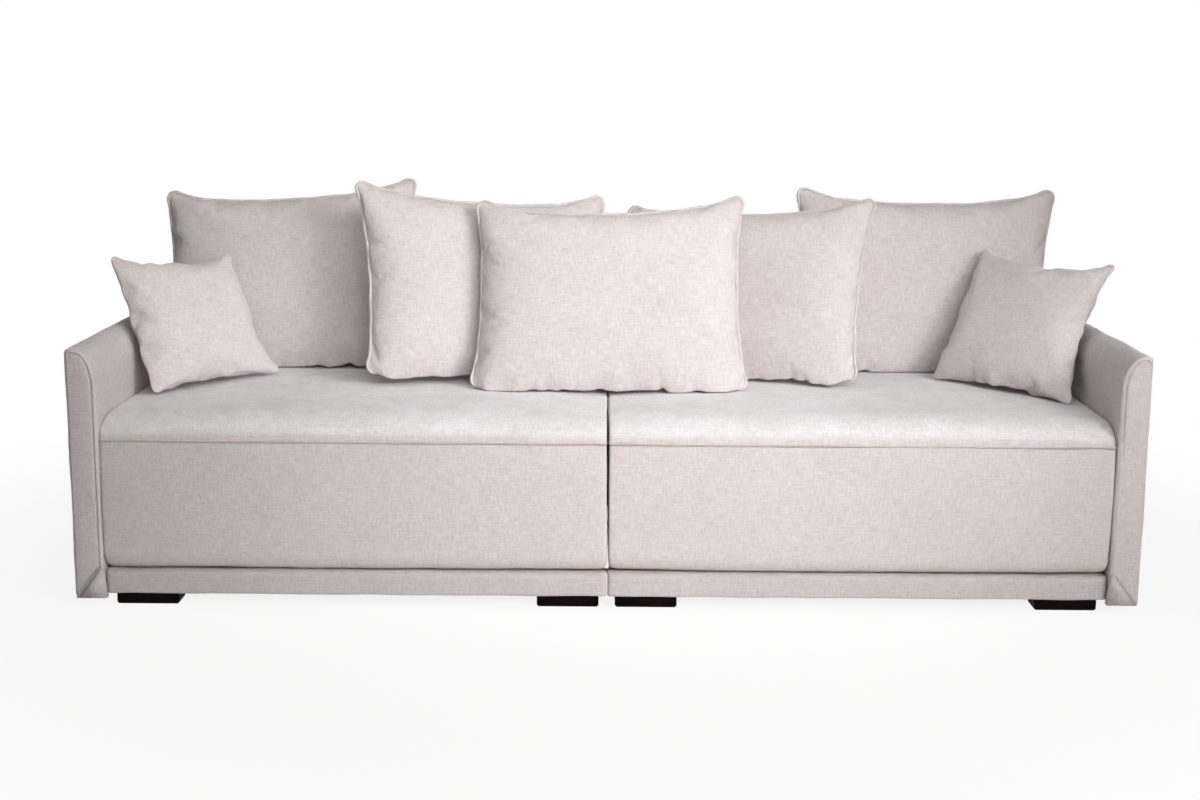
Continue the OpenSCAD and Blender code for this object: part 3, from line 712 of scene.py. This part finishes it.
for side, turn in (("left", -1), ("right", 1)):
    low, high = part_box("seat_block_right")
    frame_low, frame_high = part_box("seat_frame_right")
    slats_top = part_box("seat_slats_right")[1].z
    middle_x, half = (low.x + high.x) / 2, (high.x - low.x) / 2
    seam_z = high.z - seat_crown - seat_roll_h
    rings = []
    flat = inset_loop(even_loop(seat_section(low, high, -1), seat_point_gap), seat_end_r)
    centre = flat.mean(axis=0)
    for share in (0.35, 0.7):
        rings.append([(turn * low.x, y, z) for y, z in centre + (flat - centre) * share])
    for place, inset in round_over(low.x, high.x, seat_end_r, 8, seat_ring_gap):
        loop = even_loop(seat_section(low, high, (place - middle_x) / half), seat_point_gap)
        loop = inset_loop(resampled(loop, len(flat)), inset)
        rings.append([(turn * place, y, z) for y, z in loop])
    for ring in (rings[1], rings[0]):
        rings.append([(turn * high.x, y, z) for _, y, z in ring])
    seat = skin(f"seat_cushion_{side}", rings)
    gather_along_welt(seat.data, low, seam_z, turn)
    lumps(seat, depth=0.0036, size=0.34, seed=17 * turn + 1)
    lumps(seat, depth=0.0012, size=0.075, seed=23 * turn)
    left_x, right_x = sorted((turn * frame_low.x, turn * frame_high.x))
    hollow_low = (left_x, frame_low.y, low.z - hollow_rim)
    cut_box(seat, hollow_low, (right_x, frame_high.y, slats_top + hollow_rim))
    cut_box(seat, hollow_low, (right_x, high.y + hollow_rim, rear_opening_top))
    lay_cloth(seat.data)
    finish_piece(seat, seat_cloth_lit_on_top, f"seat_{side}", [f"seat_block_{side}"])

    face = low.y + seat_front_bow
    welt_path = []
    inner_end, outer_end = low.x + seat_end_r, high.x - seat_end_r
    for y in np.linspace(face + seat_end_r + seat_welt_run, face + seat_end_r, 7)[:-1]:
        welt_path.append((low.x + seat_welt_r, y))
    bend = (seat_end_r - seat_welt_r, seat_end_r)
    welt_path += [tuple(p) for p in quarter((inner_end, face + seat_end_r), bend, 180, 270, 8)]
    for x in np.linspace(inner_end, outer_end, 70)[1:-1]:
        share = (x - middle_x) / half
        welt_path.append((x, low.y + seat_front_bow * abs(share) ** 4 + seat_front_bow))
    welt_path += [tuple(p) for p in quarter((outer_end, face + seat_end_r), bend, 270, 360, 8)]
    for y in np.linspace(face + seat_end_r, face + seat_end_r + seat_welt_run, 7)[1:]:
        welt_path.append((high.x - seat_welt_r, y))
    path = []
    for x, y in welt_path:
        wander = seat_welt_wander * noise.noise(Vector((x * 7 + turn, y * 7, 2)))
        climb = seat_welt_climb * max(0, y - face - seat_end_r)
        path.append((turn * x, y, seam_z + wander + climb))
    # The welt's cord is painted a tone darker as painted shade.
    cord_piece(f"seat_welt_{side}", [(path, False)], seat_welt_r, shaded_seam_cloth,
               f"seat_{side}")


# Backs: low padded slabs behind the loose cushions, as high as the arms, covered like the seats,
# with a welt round the edge of each broad face. They turn down with the seats.
back_edge_r = 0.028
back_end_r = 0.020
back_welt_r = 0.0038
back_welt_in = 0.004
back_welt_drop = 0.0098
back_welt_sunk = 0.0085
back_welt_gap = 0.02
back_point_gap = 0.010
back_ring_gap = 0.016


def rounded_box_section(low, high, radius, steps, gap):
    """Outline in y and z of a slab whose four long edges are rounded alike."""
    return even_loop(np.vstack([
        rounded_corner(low.y, low.z, -1, -1, radius, steps),
        rounded_corner(low.y, high.z, -1, 1, radius, steps),
        rounded_corner(high.y, high.z, 1, 1, radius, steps),
        rounded_corner(high.y, low.z, 1, -1, radius, steps)]), gap)


for side, turn in (("left", -1), ("right", 1)):
    low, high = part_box("back_pad_right")
    section = rounded_box_section(low, high, back_edge_r, 8, back_point_gap)
    rings = []
    shrunk = inset_loop(section, back_end_r)
    centre = shrunk.mean(axis=0)
    for share in (0.4, 0.75):
        rings.append([(turn * low.x, y, z) for y, z in centre + (shrunk - centre) * share])
    for place, inset in round_over(low.x, high.x, back_end_r, 6, back_ring_gap):
        rings.append([(turn * place, y, z) for y, z in inset_loop(section, inset)])
    for ring in (rings[1], rings[0]):
        rings.append([(turn * high.x, y, z) for _, y, z in ring])
    back = skin(f"back_cushioning_{side}", rings)
    lumps(back, depth=0.003, size=0.22, seed=31 * turn)
    lumps(back, depth=0.001, size=0.06, seed=37 * turn)
    lay_cloth(back.data)
    finish_piece(back, sofa_cloth, f"back_{side}", [f"back_pad_{side}"])
    left_x, right_x = low.x + back_welt_in, high.x - back_welt_in
    z_low, z_bend = low.z + back_edge_r, high.z - back_welt_drop - back_end_r
    from_end = back_end_r + back_welt_gap
    bend = (back_end_r, back_end_r)
    around = np.vstack([
        [(left_x, z) for z in np.linspace(z_low, z_bend, 16)],
        quarter((left_x + back_end_r, z_bend), bend, 170, 90, 5),
        [(x, z_bend + back_end_r) for x in np.linspace(low.x + from_end, high.x - from_end, 60)],
        quarter((right_x - back_end_r, z_bend), bend, 90, 10, 5),
        [(right_x, z) for z in np.linspace(z_bend, z_low, 16)]])
    paths = [([(turn * x, y, z) for x, z in around], False)
             for y in (low.y + back_welt_sunk, high.y - back_welt_sunk)]
    cord_piece(f"back_welt_{side}", paths, back_welt_r, sofa_cloth, f"back_{side}")


# Rear panels: plain covered boards that close the base behind. They end below the path of the
# backs as these turn down.
panel_edge_r = 0.005
panel_point_gap = 0.009
panel_ring_gap = 0.014
for side, turn in (("left", -1), ("right", 1)):
    low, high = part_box("rear_panel_right")
    section = rounded_box_section(low, high, panel_edge_r, 4, panel_point_gap)
    rings = [[(turn * place, y, z) for y, z in inset_loop(section, inset)]
             for place, inset in round_over(low.x, high.x, panel_edge_r, 4, panel_ring_gap)]
    panel = skin(f"rear_panel_cover_{side}", rings)
    lumps(panel, depth=0.0012, size=0.12, seed=41 * turn)
    lay_cloth(panel.data)
    finish_piece(panel, sofa_cloth, "carcass", [f"rear_panel_{side}"])


# Feet: solid wooden blocks, stained nearly black, one under each corner of a module. Their edges
# have small chamfers, and they stand flat on the floor.
def wood(name, dark, light, along, lacquer, streak=24.0, shine=0.4):
    """Sawn timber with its grain along one axis."""
    material, nodes, links = new_material(name)
    shader = nodes["Principled BSDF"]
    shader.inputs["Specular IOR Level"].default_value = shine
    shader.inputs["Roughness"].default_value = lacquer
    where = nodes.new("ShaderNodeTexCoord")
    stretch = nodes.new("ShaderNodeMapping")
    stretch.inputs["Scale"].default_value = [0.06 if k == along else 1 for k in range(3)]
    grain = nodes.new("ShaderNodeTexNoise")
    grain.inputs["Scale"].default_value = streak * 4
    grain.inputs["Detail"].default_value = 6
    grain.inputs["Distortion"].default_value = 0.4
    rings_of_growth = nodes.new("ShaderNodeTexWave")
    rings_of_growth.inputs["Scale"].default_value = streak
    rings_of_growth.inputs["Distortion"].default_value = 5
    rings_of_growth.inputs["Detail"].default_value = 3
    links.new(where.outputs["Object"], stretch.inputs[0])
    links.new(stretch.outputs[0], grain.inputs["Vector"])
    links.new(stretch.outputs[0], rings_of_growth.inputs["Vector"])
    both = nodes.new("ShaderNodeMath")
    both.operation = "MULTIPLY_ADD"
    both.inputs[1].default_value = 0.5
    links.new(rings_of_growth.outputs["Fac"], both.inputs[0])
    halved = nodes.new("ShaderNodeMath")
    halved.operation = "MULTIPLY"
    halved.inputs[1].default_value = 0.5
    links.new(grain.outputs[0], halved.inputs[0])
    links.new(halved.outputs[0], both.inputs[2])
    ramp = nodes.new("ShaderNodeValToRGB")
    ramp.color_ramp.elements[0].color = (*dark, 1)
    ramp.color_ramp.elements[1].color = (*light, 1)
    ramp.color_ramp.elements[0].position = 0.25
    ramp.color_ramp.elements[1].position = 0.75
    links.new(both.outputs[0], ramp.inputs[0])
    links.new(ramp.outputs[0], shader.inputs["Base Color"])
    bump = nodes.new("ShaderNodeBump")
    bump.inputs["Strength"].default_value = 0.3
    bump.inputs["Distance"].default_value = 0.0004
    links.new(grain.outputs[0], bump.inputs["Height"])
    links.new(bump.outputs[0], shader.inputs["Normal"])
    return material


def repaint(node, material):
    """The node keeps its shape and gets this finish."""
    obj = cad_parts[node]
    obj.data.materials.clear()
    obj.data.materials.append(material)


dark_stain = wood("dark_stained_block", (0.0010, 0.0004, 0.0004), (0.005, 0.0018, 0.0018), 0, 0.6,
                  streak=30, shine=0.04)
foot_w, foot_d = 0.152, 0.070
foot_bevel = 0.003
for side, turn in (("left", -1), ("right", 1)):
    low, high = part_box("feet_right")
    block = bmesh.new()
    for x in (low.x, high.x - foot_w):
        for y in (low.y, high.y - foot_d):
            cube = bmesh.ops.create_cube(block, size=1)
            for vertex in cube["verts"]:
                share = vertex.co + Vector((0.5, 0.5, 0.5))
                vertex.co = (turn * (x + foot_w * share.x), y + foot_d * share.y, high.z * share.z)
    bmesh.ops.recalc_face_normals(block, faces=block.faces)
    bmesh.ops.bevel(block, geom=block.edges[:], offset=foot_bevel, segments=2, affect="EDGES")
    mesh = bpy.data.meshes.new(f"foot_blocks_{side}")
    block.to_mesh(mesh)
    block.free()
    feet = bpy.data.objects.new(f"foot_blocks_{side}", mesh)
    scene.collection.objects.link(feet)
    finish_piece(feet, dark_stain, "carcass", [f"feet_{side}"])
    for face in mesh.polygons:
        face.use_smooth = False


# Timber inside: base and seat frames of raw softwood, and bowed slats of glued birch under each
# seat. They keep the shapes that they were built with and get their finish here.
raw_timber = wood("raw_softwood", (0.50, 0.33, 0.18), (0.70, 0.52, 0.33), 0, 0.7, 16)
birch = wood("glued_birch", (0.62, 0.46, 0.28), (0.78, 0.62, 0.42), 1, 0.45, 20)
for side in ("left", "right"):
    repaint(f"base_frame_{side}", raw_timber)
    repaint(f"seat_frame_{side}", raw_timber)
    repaint(f"seat_slats_{side}", birch)


# Steel parts: runners, bolts, hinge pins and the connectors between the modules are zinc plated.
# The hinge brackets and the plates inside the backs are powder coated in grey.
def metal(name, base, roughness, metallic, speckle):
    material, nodes, links = new_material(name)
    shader = nodes["Principled BSDF"]
    shader.inputs["Metallic"].default_value = metallic
    where = nodes.new("ShaderNodeTexCoord")
    clouds = nodes.new("ShaderNodeTexNoise")
    clouds.inputs["Scale"].default_value = speckle
    clouds.inputs["Detail"].default_value = 5
    links.new(where.outputs["Object"], clouds.inputs["Vector"])
    ramp = nodes.new("ShaderNodeValToRGB")
    ramp.color_ramp.elements[0].color = (*[c * 0.8 for c in base], 1)
    ramp.color_ramp.elements[1].color = (*[min(1, c * 1.1) for c in base], 1)
    links.new(clouds.outputs[0], ramp.inputs[0])
    links.new(ramp.outputs[0], shader.inputs["Base Color"])
    span = nodes.new("ShaderNodeMapRange")
    span.inputs["To Min"].default_value = roughness - 0.06
    span.inputs["To Max"].default_value = roughness + 0.08
    links.new(clouds.outputs[0], span.inputs["Value"])
    links.new(span.outputs[0], shader.inputs["Roughness"])
    bump = nodes.new("ShaderNodeBump")
    bump.inputs["Strength"].default_value = 0.15
    bump.inputs["Distance"].default_value = 0.0002
    links.new(clouds.outputs[0], bump.inputs["Height"])
    links.new(bump.outputs[0], shader.inputs["Normal"])
    return material


zinc = metal("zinc_plate", (0.62, 0.63, 0.65), 0.34, 1, 90)
powder = metal("grey_powder_coat", (0.12, 0.12, 0.13), 0.5, 0, 900)
for side in ("left", "right"):
    for part in ("arm_bolts", "hinge_pins", "runner_outer", "runner_inner"):
        repaint(f"{part}_{side}", zinc)
    for part in ("hinge_brackets", "back_plates"):
        repaint(f"{part}_{side}", powder)
repaint("module_connectors", zinc)


# Loose cushions: two panels of the same chenille, sewn together flat and blown up by the filling,
# so the faces crown, the sides draw in with gathers and the corners stand out, then pressed against
# what they rest on. Five are large, with a welt. Two are small and smoother, with a plain seam.
cushion_cloth = chenille("cushion_chenille", (0.73, 0.663, 0.652), 4.3)
# The small cushions' cloth is the same chenille painted lighter, as painted light falling on them.
lit_little_cloth = chenille("lit_little_chenille", (0.80, 0.728, 0.716), 5.1)

# The two panels as they are cut, laid together and slightly parted before the filling goes in.
cut_slack = 1.04
rear_cloth_shift = 1.8
crown_power = 2.6
start_plump = 0.012
start_gap = 0.002
start_ripple = 0.003

# The filled cushion: its seam and gathers, the creases at its lower edge and sides, and its hang.
gathers_kept = 0.22
seam_reach = 0.13
corner_clear, corner_ease = 2, 5
least_half_thick = 0.0008
thin_share = 0.15
crease_low_depth, crease_low_reach = 0.0045, 0.055
crease_side_depth, crease_side_reach = 0.0035, 0.045
creases_per_metre = 24
hang_power = 1.6
hang_unevenness = 0.12
pull_power = 1.5
rest_gap = 0.0012


def cut_edge(width, height, corner_r, u, v):
    """A point on the border of a flat panel with rounded corners."""
    x, z = width / 2 * u, height / 2 * v
    inner_x, inner_z = width / 2 - corner_r, height / 2 - corner_r
    off_x, off_z = max(0, abs(x) - inner_x), max(0, abs(z) - inner_z)
    if off_x > 0 and off_z > 0:
        reach = corner_r / math.hypot(off_x, off_z)
        x = math.copysign(inner_x + off_x * reach, x)
        z = math.copysign(inner_z + off_z * reach, z)
    return np.array((x, z))


def flat_panels(width, height, corner_r, cell, plump, seed):
    """Two panels that share a border: points, faces, cloth map, and numbers by panel, row, column."""
    cols, rows = int(round(width / cell)), int(round(height / cell))
    low_edge, top_edge = [[cut_edge(width, height, corner_r, 2 * i / cols - 1, v)
                           for i in range(cols + 1)] for v in (-1, 1)]
    left_edge, right_edge = [[cut_edge(width, height, corner_r, u, 2 * j / rows - 1)
                              for j in range(rows + 1)] for u in (-1, 1)]
    number = np.zeros((2, rows + 1, cols + 1), int)
    points = []
    for panel in (0, 1):
        for j in range(rows + 1):
            for i in range(cols + 1):
                on_seam = i in (0, cols) or j in (0, rows)
                if panel == 1 and on_seam:
                    number[1, j, i] = number[0, j, i]
                    continue
                s, t = i / cols, j / rows
                x, z = ((1 - t) * low_edge[i] + t * top_edge[i]
                        + (1 - s) * left_edge[j] + s * right_edge[j]
                        - (1 - s) * (1 - t) * low_edge[0] - s * (1 - t) * low_edge[cols]
                        - (1 - s) * t * top_edge[0] - s * t * top_edge[cols])
                u, v = 2 * s - 1, 2 * t - 1
                crown = ((1 - abs(u) ** crown_power) * (1 - abs(v) ** crown_power)) ** 0.5
                way = 2 * panel - 1
                ripple = start_ripple * noise.noise(Vector((u * 5 + seed, v * 5, 3.3 * way)))
                number[panel, j, i] = len(points)
                points.append((x, 0 if on_seam else way * (plump * crown + start_gap) + ripple, z))
    faces, cloth_map = [], []
    for panel in (0, 1):
        for j in range(rows):
            for i in range(cols):
                quad = [(i, j), (i + 1, j), (i + 1, j + 1), (i, j + 1)]
                quad = quad[::-1] if panel else quad
                faces.append([number[panel, b, a] for a, b in quad])
                cloth_map += [(a / cols * width + panel * rear_cloth_shift, b / rows * height)
                              for a, b in quad]
    return points, faces, cloth_map, number


def fill_cushion(obj, pressure, blown_to, frames=40):
    """Blows the sewn panels up as cloth until they are so thick."""
    mesh = obj.data
    modifier = obj.modifiers.new("filling", "CLOTH")
    cloth = modifier.settings
    cloth.quality = 6
    cloth.mass = 0.3
    cloth.air_damping = 2
    cloth.tension_stiffness = cloth.compression_stiffness = 60
    cloth.shear_stiffness = 8
    cloth.bending_stiffness = 1
    cloth.tension_damping = cloth.compression_damping = 10
    cloth.use_pressure = True
    cloth.uniform_pressure_force = pressure
    cloth.effector_weights.gravity = 0
    modifier.collision_settings.use_collision = False
    modifier.point_cache.frame_start, modifier.point_cache.frame_end = 1, frames
    shaped = np.zeros(len(mesh.vertices) * 3, np.float32)
    for step in range(1, frames + 1):
        scene.frame_set(step)
        evaluated = obj.evaluated_get(bpy.context.evaluated_depsgraph_get())
        evaluated.data.vertices.foreach_get("co", shaped)
        if np.ptp(shaped[1::3]) > blown_to:
            break
    obj.modifiers.remove(modifier)
    mesh.vertices.foreach_set("co", shaped)
    mesh.update()
    scene.frame_set(1)


def easing_off(steps, distance):
    """Falls softly from 1 to 0 over the distance."""
    share = np.clip(steps / distance, 0, 1)
    return 1 - share * share * (3 - 2 * share)


def draw_seam(co, number, size, edge_sags, keep):
    """Brings the seam to its outline and keeps a share of its gathers. The cloth by it follows."""
    width, height, _ = size
    left_sag, right_sag, low_sag, top_sag = edge_sags
    grid = co[number]
    rows, cols = number.shape[1] - 1, number.shape[2] - 1
    along_x = np.abs(grid[0, :, :, 0]) / (width / 2)
    along_z = np.abs(grid[0, :, :, 2]) / (height / 2)
    shifts = np.zeros(grid.shape)
    i, j = np.arange(cols + 1), np.arange(rows + 1)
    clear_i = 1 - easing_off(np.minimum(i, cols - i) - corner_clear, corner_ease)
    clear_j = 1 - easing_off(np.minimum(j, rows - j) - corner_clear, corner_ease)
    cell = height / rows
    for row, sag, way in ((0, low_sag, 1), (rows, top_sag, -1)):
        bow = np.clip(1 - along_x[row] ** crown_power, 0, 1)
        wanted = way * (sag * bow - height / 2)
        move = (wanted - grid[0, row, :, 2]) * (1 - keep) * clear_i
        follow = easing_off(np.abs(j - row) * cell, seam_reach)
        shifts[:, :, :, 2] += (follow[:, None] * move[None, :])[None]
    for col, sag, way in ((0, left_sag, 1), (cols, right_sag, -1)):
        bow = np.clip(1 - along_z[:, col] ** crown_power, 0, 1)
        wanted = way * (sag * bow - width / 2)
        move = (wanted - grid[0, :, col, 0]) * (1 - keep) * clear_j
        follow = easing_off(np.abs(i - col) * cell, seam_reach)
        shifts[:, :, :, 0] += (follow[None, :] * move[:, None])[None]
    moved = co.copy()
    moved[number] = grid + shifts
    return moved


def sewn_cushion(name, size, corner_r, edge_sags, face_sags, corner_pulls, seed, cell, pressure,
                 blown_to, gathers=1):
    """A filled cushion in its own frame: x across, y thick, z up, lower corners at z 0.

    Its left, right, lower and upper edges draw in by edge_sags, and its front and rear faces
    hang by face_sags. With a smaller share of gathers it comes out smoother.
    """
    width, height, thick = size
    plump = start_plump
    points, faces, cloth_map, number = flat_panels(
        width * cut_slack, height * cut_slack, corner_r, cell, plump, seed)
    mesh = bpy.data.meshes.new(name)
    mesh.from_pydata(points, [], faces)
    mesh.uv_layers.new(name="cloth").data.foreach_set("uv", np.array(cloth_map, np.float32).ravel())
    obj = bpy.data.objects.new(name, mesh)
    scene.collection.objects.link(obj)
    fill_cushion(obj, pressure, blown_to)
    if gathers < 1:
        smoothed = bmesh.new()
        smoothed.from_mesh(mesh)
        for _ in range(3):
            bmesh.ops.smooth_vert(smoothed, verts=smoothed.verts, factor=0.5,
                                  use_axis_x=True, use_axis_y=True, use_axis_z=True)
        smoothed.to_mesh(mesh)
        smoothed.free()
    co = np.array([v.co for v in mesh.vertices])
    least, most = co.min(axis=0), co.max(axis=0)
    co = (co - (least + most) / 2) / (most - least) * (width, thick, height)
    front, rear = number[0, 1:-1, 1:-1].ravel(), number[1, 1:-1, 1:-1].ravel()
    middle = (co[front, 1] + co[rear, 1]) / 2
    half = np.maximum((co[rear, 1] - co[front, 1]) / 2, least_half_thick)
    co[front, 1], co[rear, 1] = middle - half, middle + half
    co = draw_seam(co, number, size, edge_sags, gathers_kept * gathers)
    u, v = co[:, 0] / (width / 2), co[:, 2] / (height / 2)
    fullness = np.clip(np.abs(co[:, 1]) / (thin_share * thick), 0, 1)
    sink = np.where(co[:, 1] < 0, face_sags[0], face_sags[1])
    near_low = np.exp(-((co[:, 2] + height / 2) / crease_low_reach) ** 2)
    near_side = np.exp(-((width / 2 - np.abs(co[:, 0])) / crease_side_reach) ** 2)
    upright = np.array([noise.noise(Vector((x * creases_per_metre + seed, z * 5, 7 * np.sign(y))))
                        for x, y, z in co])
    level = np.array([noise.noise(Vector((x * 5, z * creases_per_metre - seed, 7 * np.sign(y))))
                      for x, y, z in co])
    swell = (crease_low_depth * upright * near_low + crease_side_depth * level * near_side) * fullness
    co[:, 1] += np.sign(co[:, 1]) * swell * gathers
    hang = sink * fullness * np.clip((1 - v) / 2, 0, 1) ** hang_power
    co[:, 2] -= hang * (1 + hang_unevenness * upright)
    for (corner_u, corner_v), (dx, dz) in corner_pulls:
        near = np.clip((1 + corner_u * u) / 2, 0, 1) * np.clip((1 + corner_v * v) / 2, 0, 1)
        weight = near ** pull_power
        co[:, 0] += dx * weight
        co[:, 2] += dz * weight
    co[:, 2] += height / 2
    mesh.vertices.foreach_set("co", co.astype(np.float32).ravel())
    mesh.update()
    seam = [*number[0, 0, :-1], *number[0, :-1, -1], *number[0, -1, :0:-1], *number[0, :0:-1, 0]]
    return obj, [int(k) for k in seam]


def solid_tree(obj, shift=Vector((0, 0, 0))):
    """The piece's surface for the cushions to press against, moved by the shift."""
    return BVHTree.FromPolygons([v.co + shift for v in obj.data.vertices],
                                [list(p.vertices) for p in obj.data.polygons])


def press_out(points, solids, gap, reach=0.06):
    """Moves each point that lies in a solid, or nearer than the gap, to the solid's surface."""
    pressed = []
    for point in points:
        spot_here = Vector(point)
        for tree in solids:
            spot, normal, _, _ = tree.find_nearest(spot_here, reach)
            if spot is not None and (spot_here - spot).dot(normal) < gap:
                spot_here = spot + normal * gap
        pressed.append(spot_here)
    return pressed


def into_place(node, yaw, lean, roll, height):
    """Matrix that stands a cushion where its node is, turned and leaned in degrees."""
    low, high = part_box(node)
    turned = (Matrix.Rotation(math.radians(yaw), 4, "Z") @ Matrix.Rotation(math.radians(-lean), 4, "X")
              @ Matrix.Rotation(math.radians(-roll), 4, "Y"))
    centre = (low + high) / 2
    return Matrix.Translation(centre) @ turned @ Matrix.Translation((0, 0, -height / 2))


def rounder(obj, levels):
    modifier = obj.modifiers.new("round", "SUBSURF")
    modifier.levels = modifier.render_levels = levels
    obj.data = bpy.data.meshes.new_from_object(obj.evaluated_get(bpy.context.evaluated_depsgraph_get()))
    obj.modifiers.remove(modifier)


def settle(obj, seam, place, solids):
    """Stands the cushion in its place and presses it against what is there. Gives its seam."""
    obj.data.transform(place)
    pressed = press_out([v.co for v in obj.data.vertices], solids, rest_gap)
    obj.data.vertices.foreach_set("co", np.array(pressed, np.float32).ravel())
    obj.data.update()
    return [obj.data.vertices[k].co.copy() for k in seam]


neighbours = [solid_tree(bpy.data.objects[name]) for name in (
    "seat_cushion_left", "seat_cushion_right", "back_cushioning_left", "back_cushioning_right",
    "upholstered_arm_left", "upholstered_arm_right")]

# The cushions also clear the seats when these are half way and fully out.
seat_travel = 0.1415
neighbours += [solid_tree(bpy.data.objects[f"seat_cushion_{side}"], Vector((0, -seat_travel * share, 0)))
               for side in ("left", "right") for share in (0.5, 1)]
cushion_corner_r = 0.026
cushion_size = (0.700, 0.510, 0.150)
cushion_welt_r = 0.0040
welt_stand_out = 0.7
welt_rest_gap = 0.0003

# Each cushion's node, its turn, lean and roll in degrees, how far some of its corners (side,
# lower or upper) are pulled across and up, and the seed of its gathers.
cushions = [
    ("cushion_far_left", 0, 15, 2.5,
     [((-1, 1), (0.002, -0.006)), ((1, 1), (0.007, 0.008))], 3),
    ("cushion_far_right", 0, 15, 0,
     [((-1, 1), (0.004, 0.008)), ((1, 1), (0.032, 0.005))], 13),
    ("cushion_mid_left", 22, 19, -4,
     [((-1, 1), (-0.024, 0.010)), ((1, 1), (-0.013, 0.001)), ((-1, -1), (-0.006, -0.004))], 5),
    ("cushion_mid_right", -22, 24, 3,
     [((-1, 1), (0.004, -0.014)), ((1, 1), (0.019, -0.005)), ((1, -1), (0.002, -0.004))], 11),
    ("cushion_centre", 0, 20, 0,
     [((-1, 1), (-0.004, -0.002)), ((1, 1), (0.011, 0.018)),
      ((-1, -1), (-0.010, 0.004)), ((1, -1), (0.015, 0.004))], 7)]
for node, yaw, lean, roll, corner_pulls, seed in cushions:
    width, height, thick = cushion_size
    rim = 2 * cushion_welt_r
    cushion, seam = sewn_cushion(
        node.replace("cushion", "back_cushion"), (width - rim, height - rim, thick), cushion_corner_r,
        edge_sags=(0.013, 0.013, 0.012, 0.040), face_sags=(0.044, 0.016), corner_pulls=corner_pulls,
        seed=seed, cell=0.0085, pressure=12, blown_to=0.20)
    place = into_place(node, yaw, lean, roll, height) @ Matrix.Translation((0, 0, cushion_welt_r))
    seam_points = settle(cushion, seam, place, neighbours)
    neighbours.append(solid_tree(cushion))
    rounder(cushion, 1)
    finish_piece(cushion, cushion_cloth, f"{node}_body", [node])
    middle = sum(seam_points, Vector()) / len(seam_points)
    thickness_way = (place.to_3x3() @ Vector((0, 1, 0))).normalized()
    path = []
    for k, point in enumerate(seam_points):
        ahead, behind = seam_points[(k + 1) % len(seam_points)], seam_points[k - 1]
        outward = (ahead - behind).cross(thickness_way).normalized()
        outward = outward if outward.dot(point - middle) > 0 else -outward
        path.append((ahead + 2 * point + behind) / 4 + outward * cushion_welt_r * welt_stand_out)
    path = press_out(path, neighbours[:-1], cushion_welt_r + welt_rest_gap)
    cord_piece(node.replace("cushion", "cushion_welt"), [(path, True)], cushion_welt_r,
               cushion_cloth, f"{node}_body")

# The same for the small cushions, with how far their edges draw in.
small_size = (0.392, 0.388, 0.118)
small_cushions = [
    ("small_cushion_left", 45, 30, (0.008, 0.036, 0.018, 0.036),
     [((-1, 1), (-0.004, 0)), ((1, 1), (-0.030, -0.017)),
      ((1, -1), (-0.001, 0.009)), ((-1, -1), (-0.004, 0))], 17),
    ("small_cushion_right", -45, 30, (0.010, 0.026, 0.018, 0.036),
     [((-1, 1), (0.006, 0.016)), ((1, 1), (0.025, 0.001)),
      ((1, -1), (0.032, -0.010)), ((-1, -1), (-0.006, 0.003))], 19)]
for node, yaw, lean, edge_sags, corner_pulls, seed in small_cushions:
    small, seam = sewn_cushion(
        node.replace("small", "little"), small_size, cushion_corner_r,
        edge_sags=edge_sags, face_sags=(0.012, 0.006), corner_pulls=corner_pulls,
        seed=seed, cell=0.0066, pressure=8, blown_to=0.15, gathers=0.4)
    settle(small, seam, into_place(node, yaw, lean, 0, small_size[1]), neighbours)
    rounder(small, 1)
    finish_piece(small, lit_little_cloth, f"{node}_body", [node])
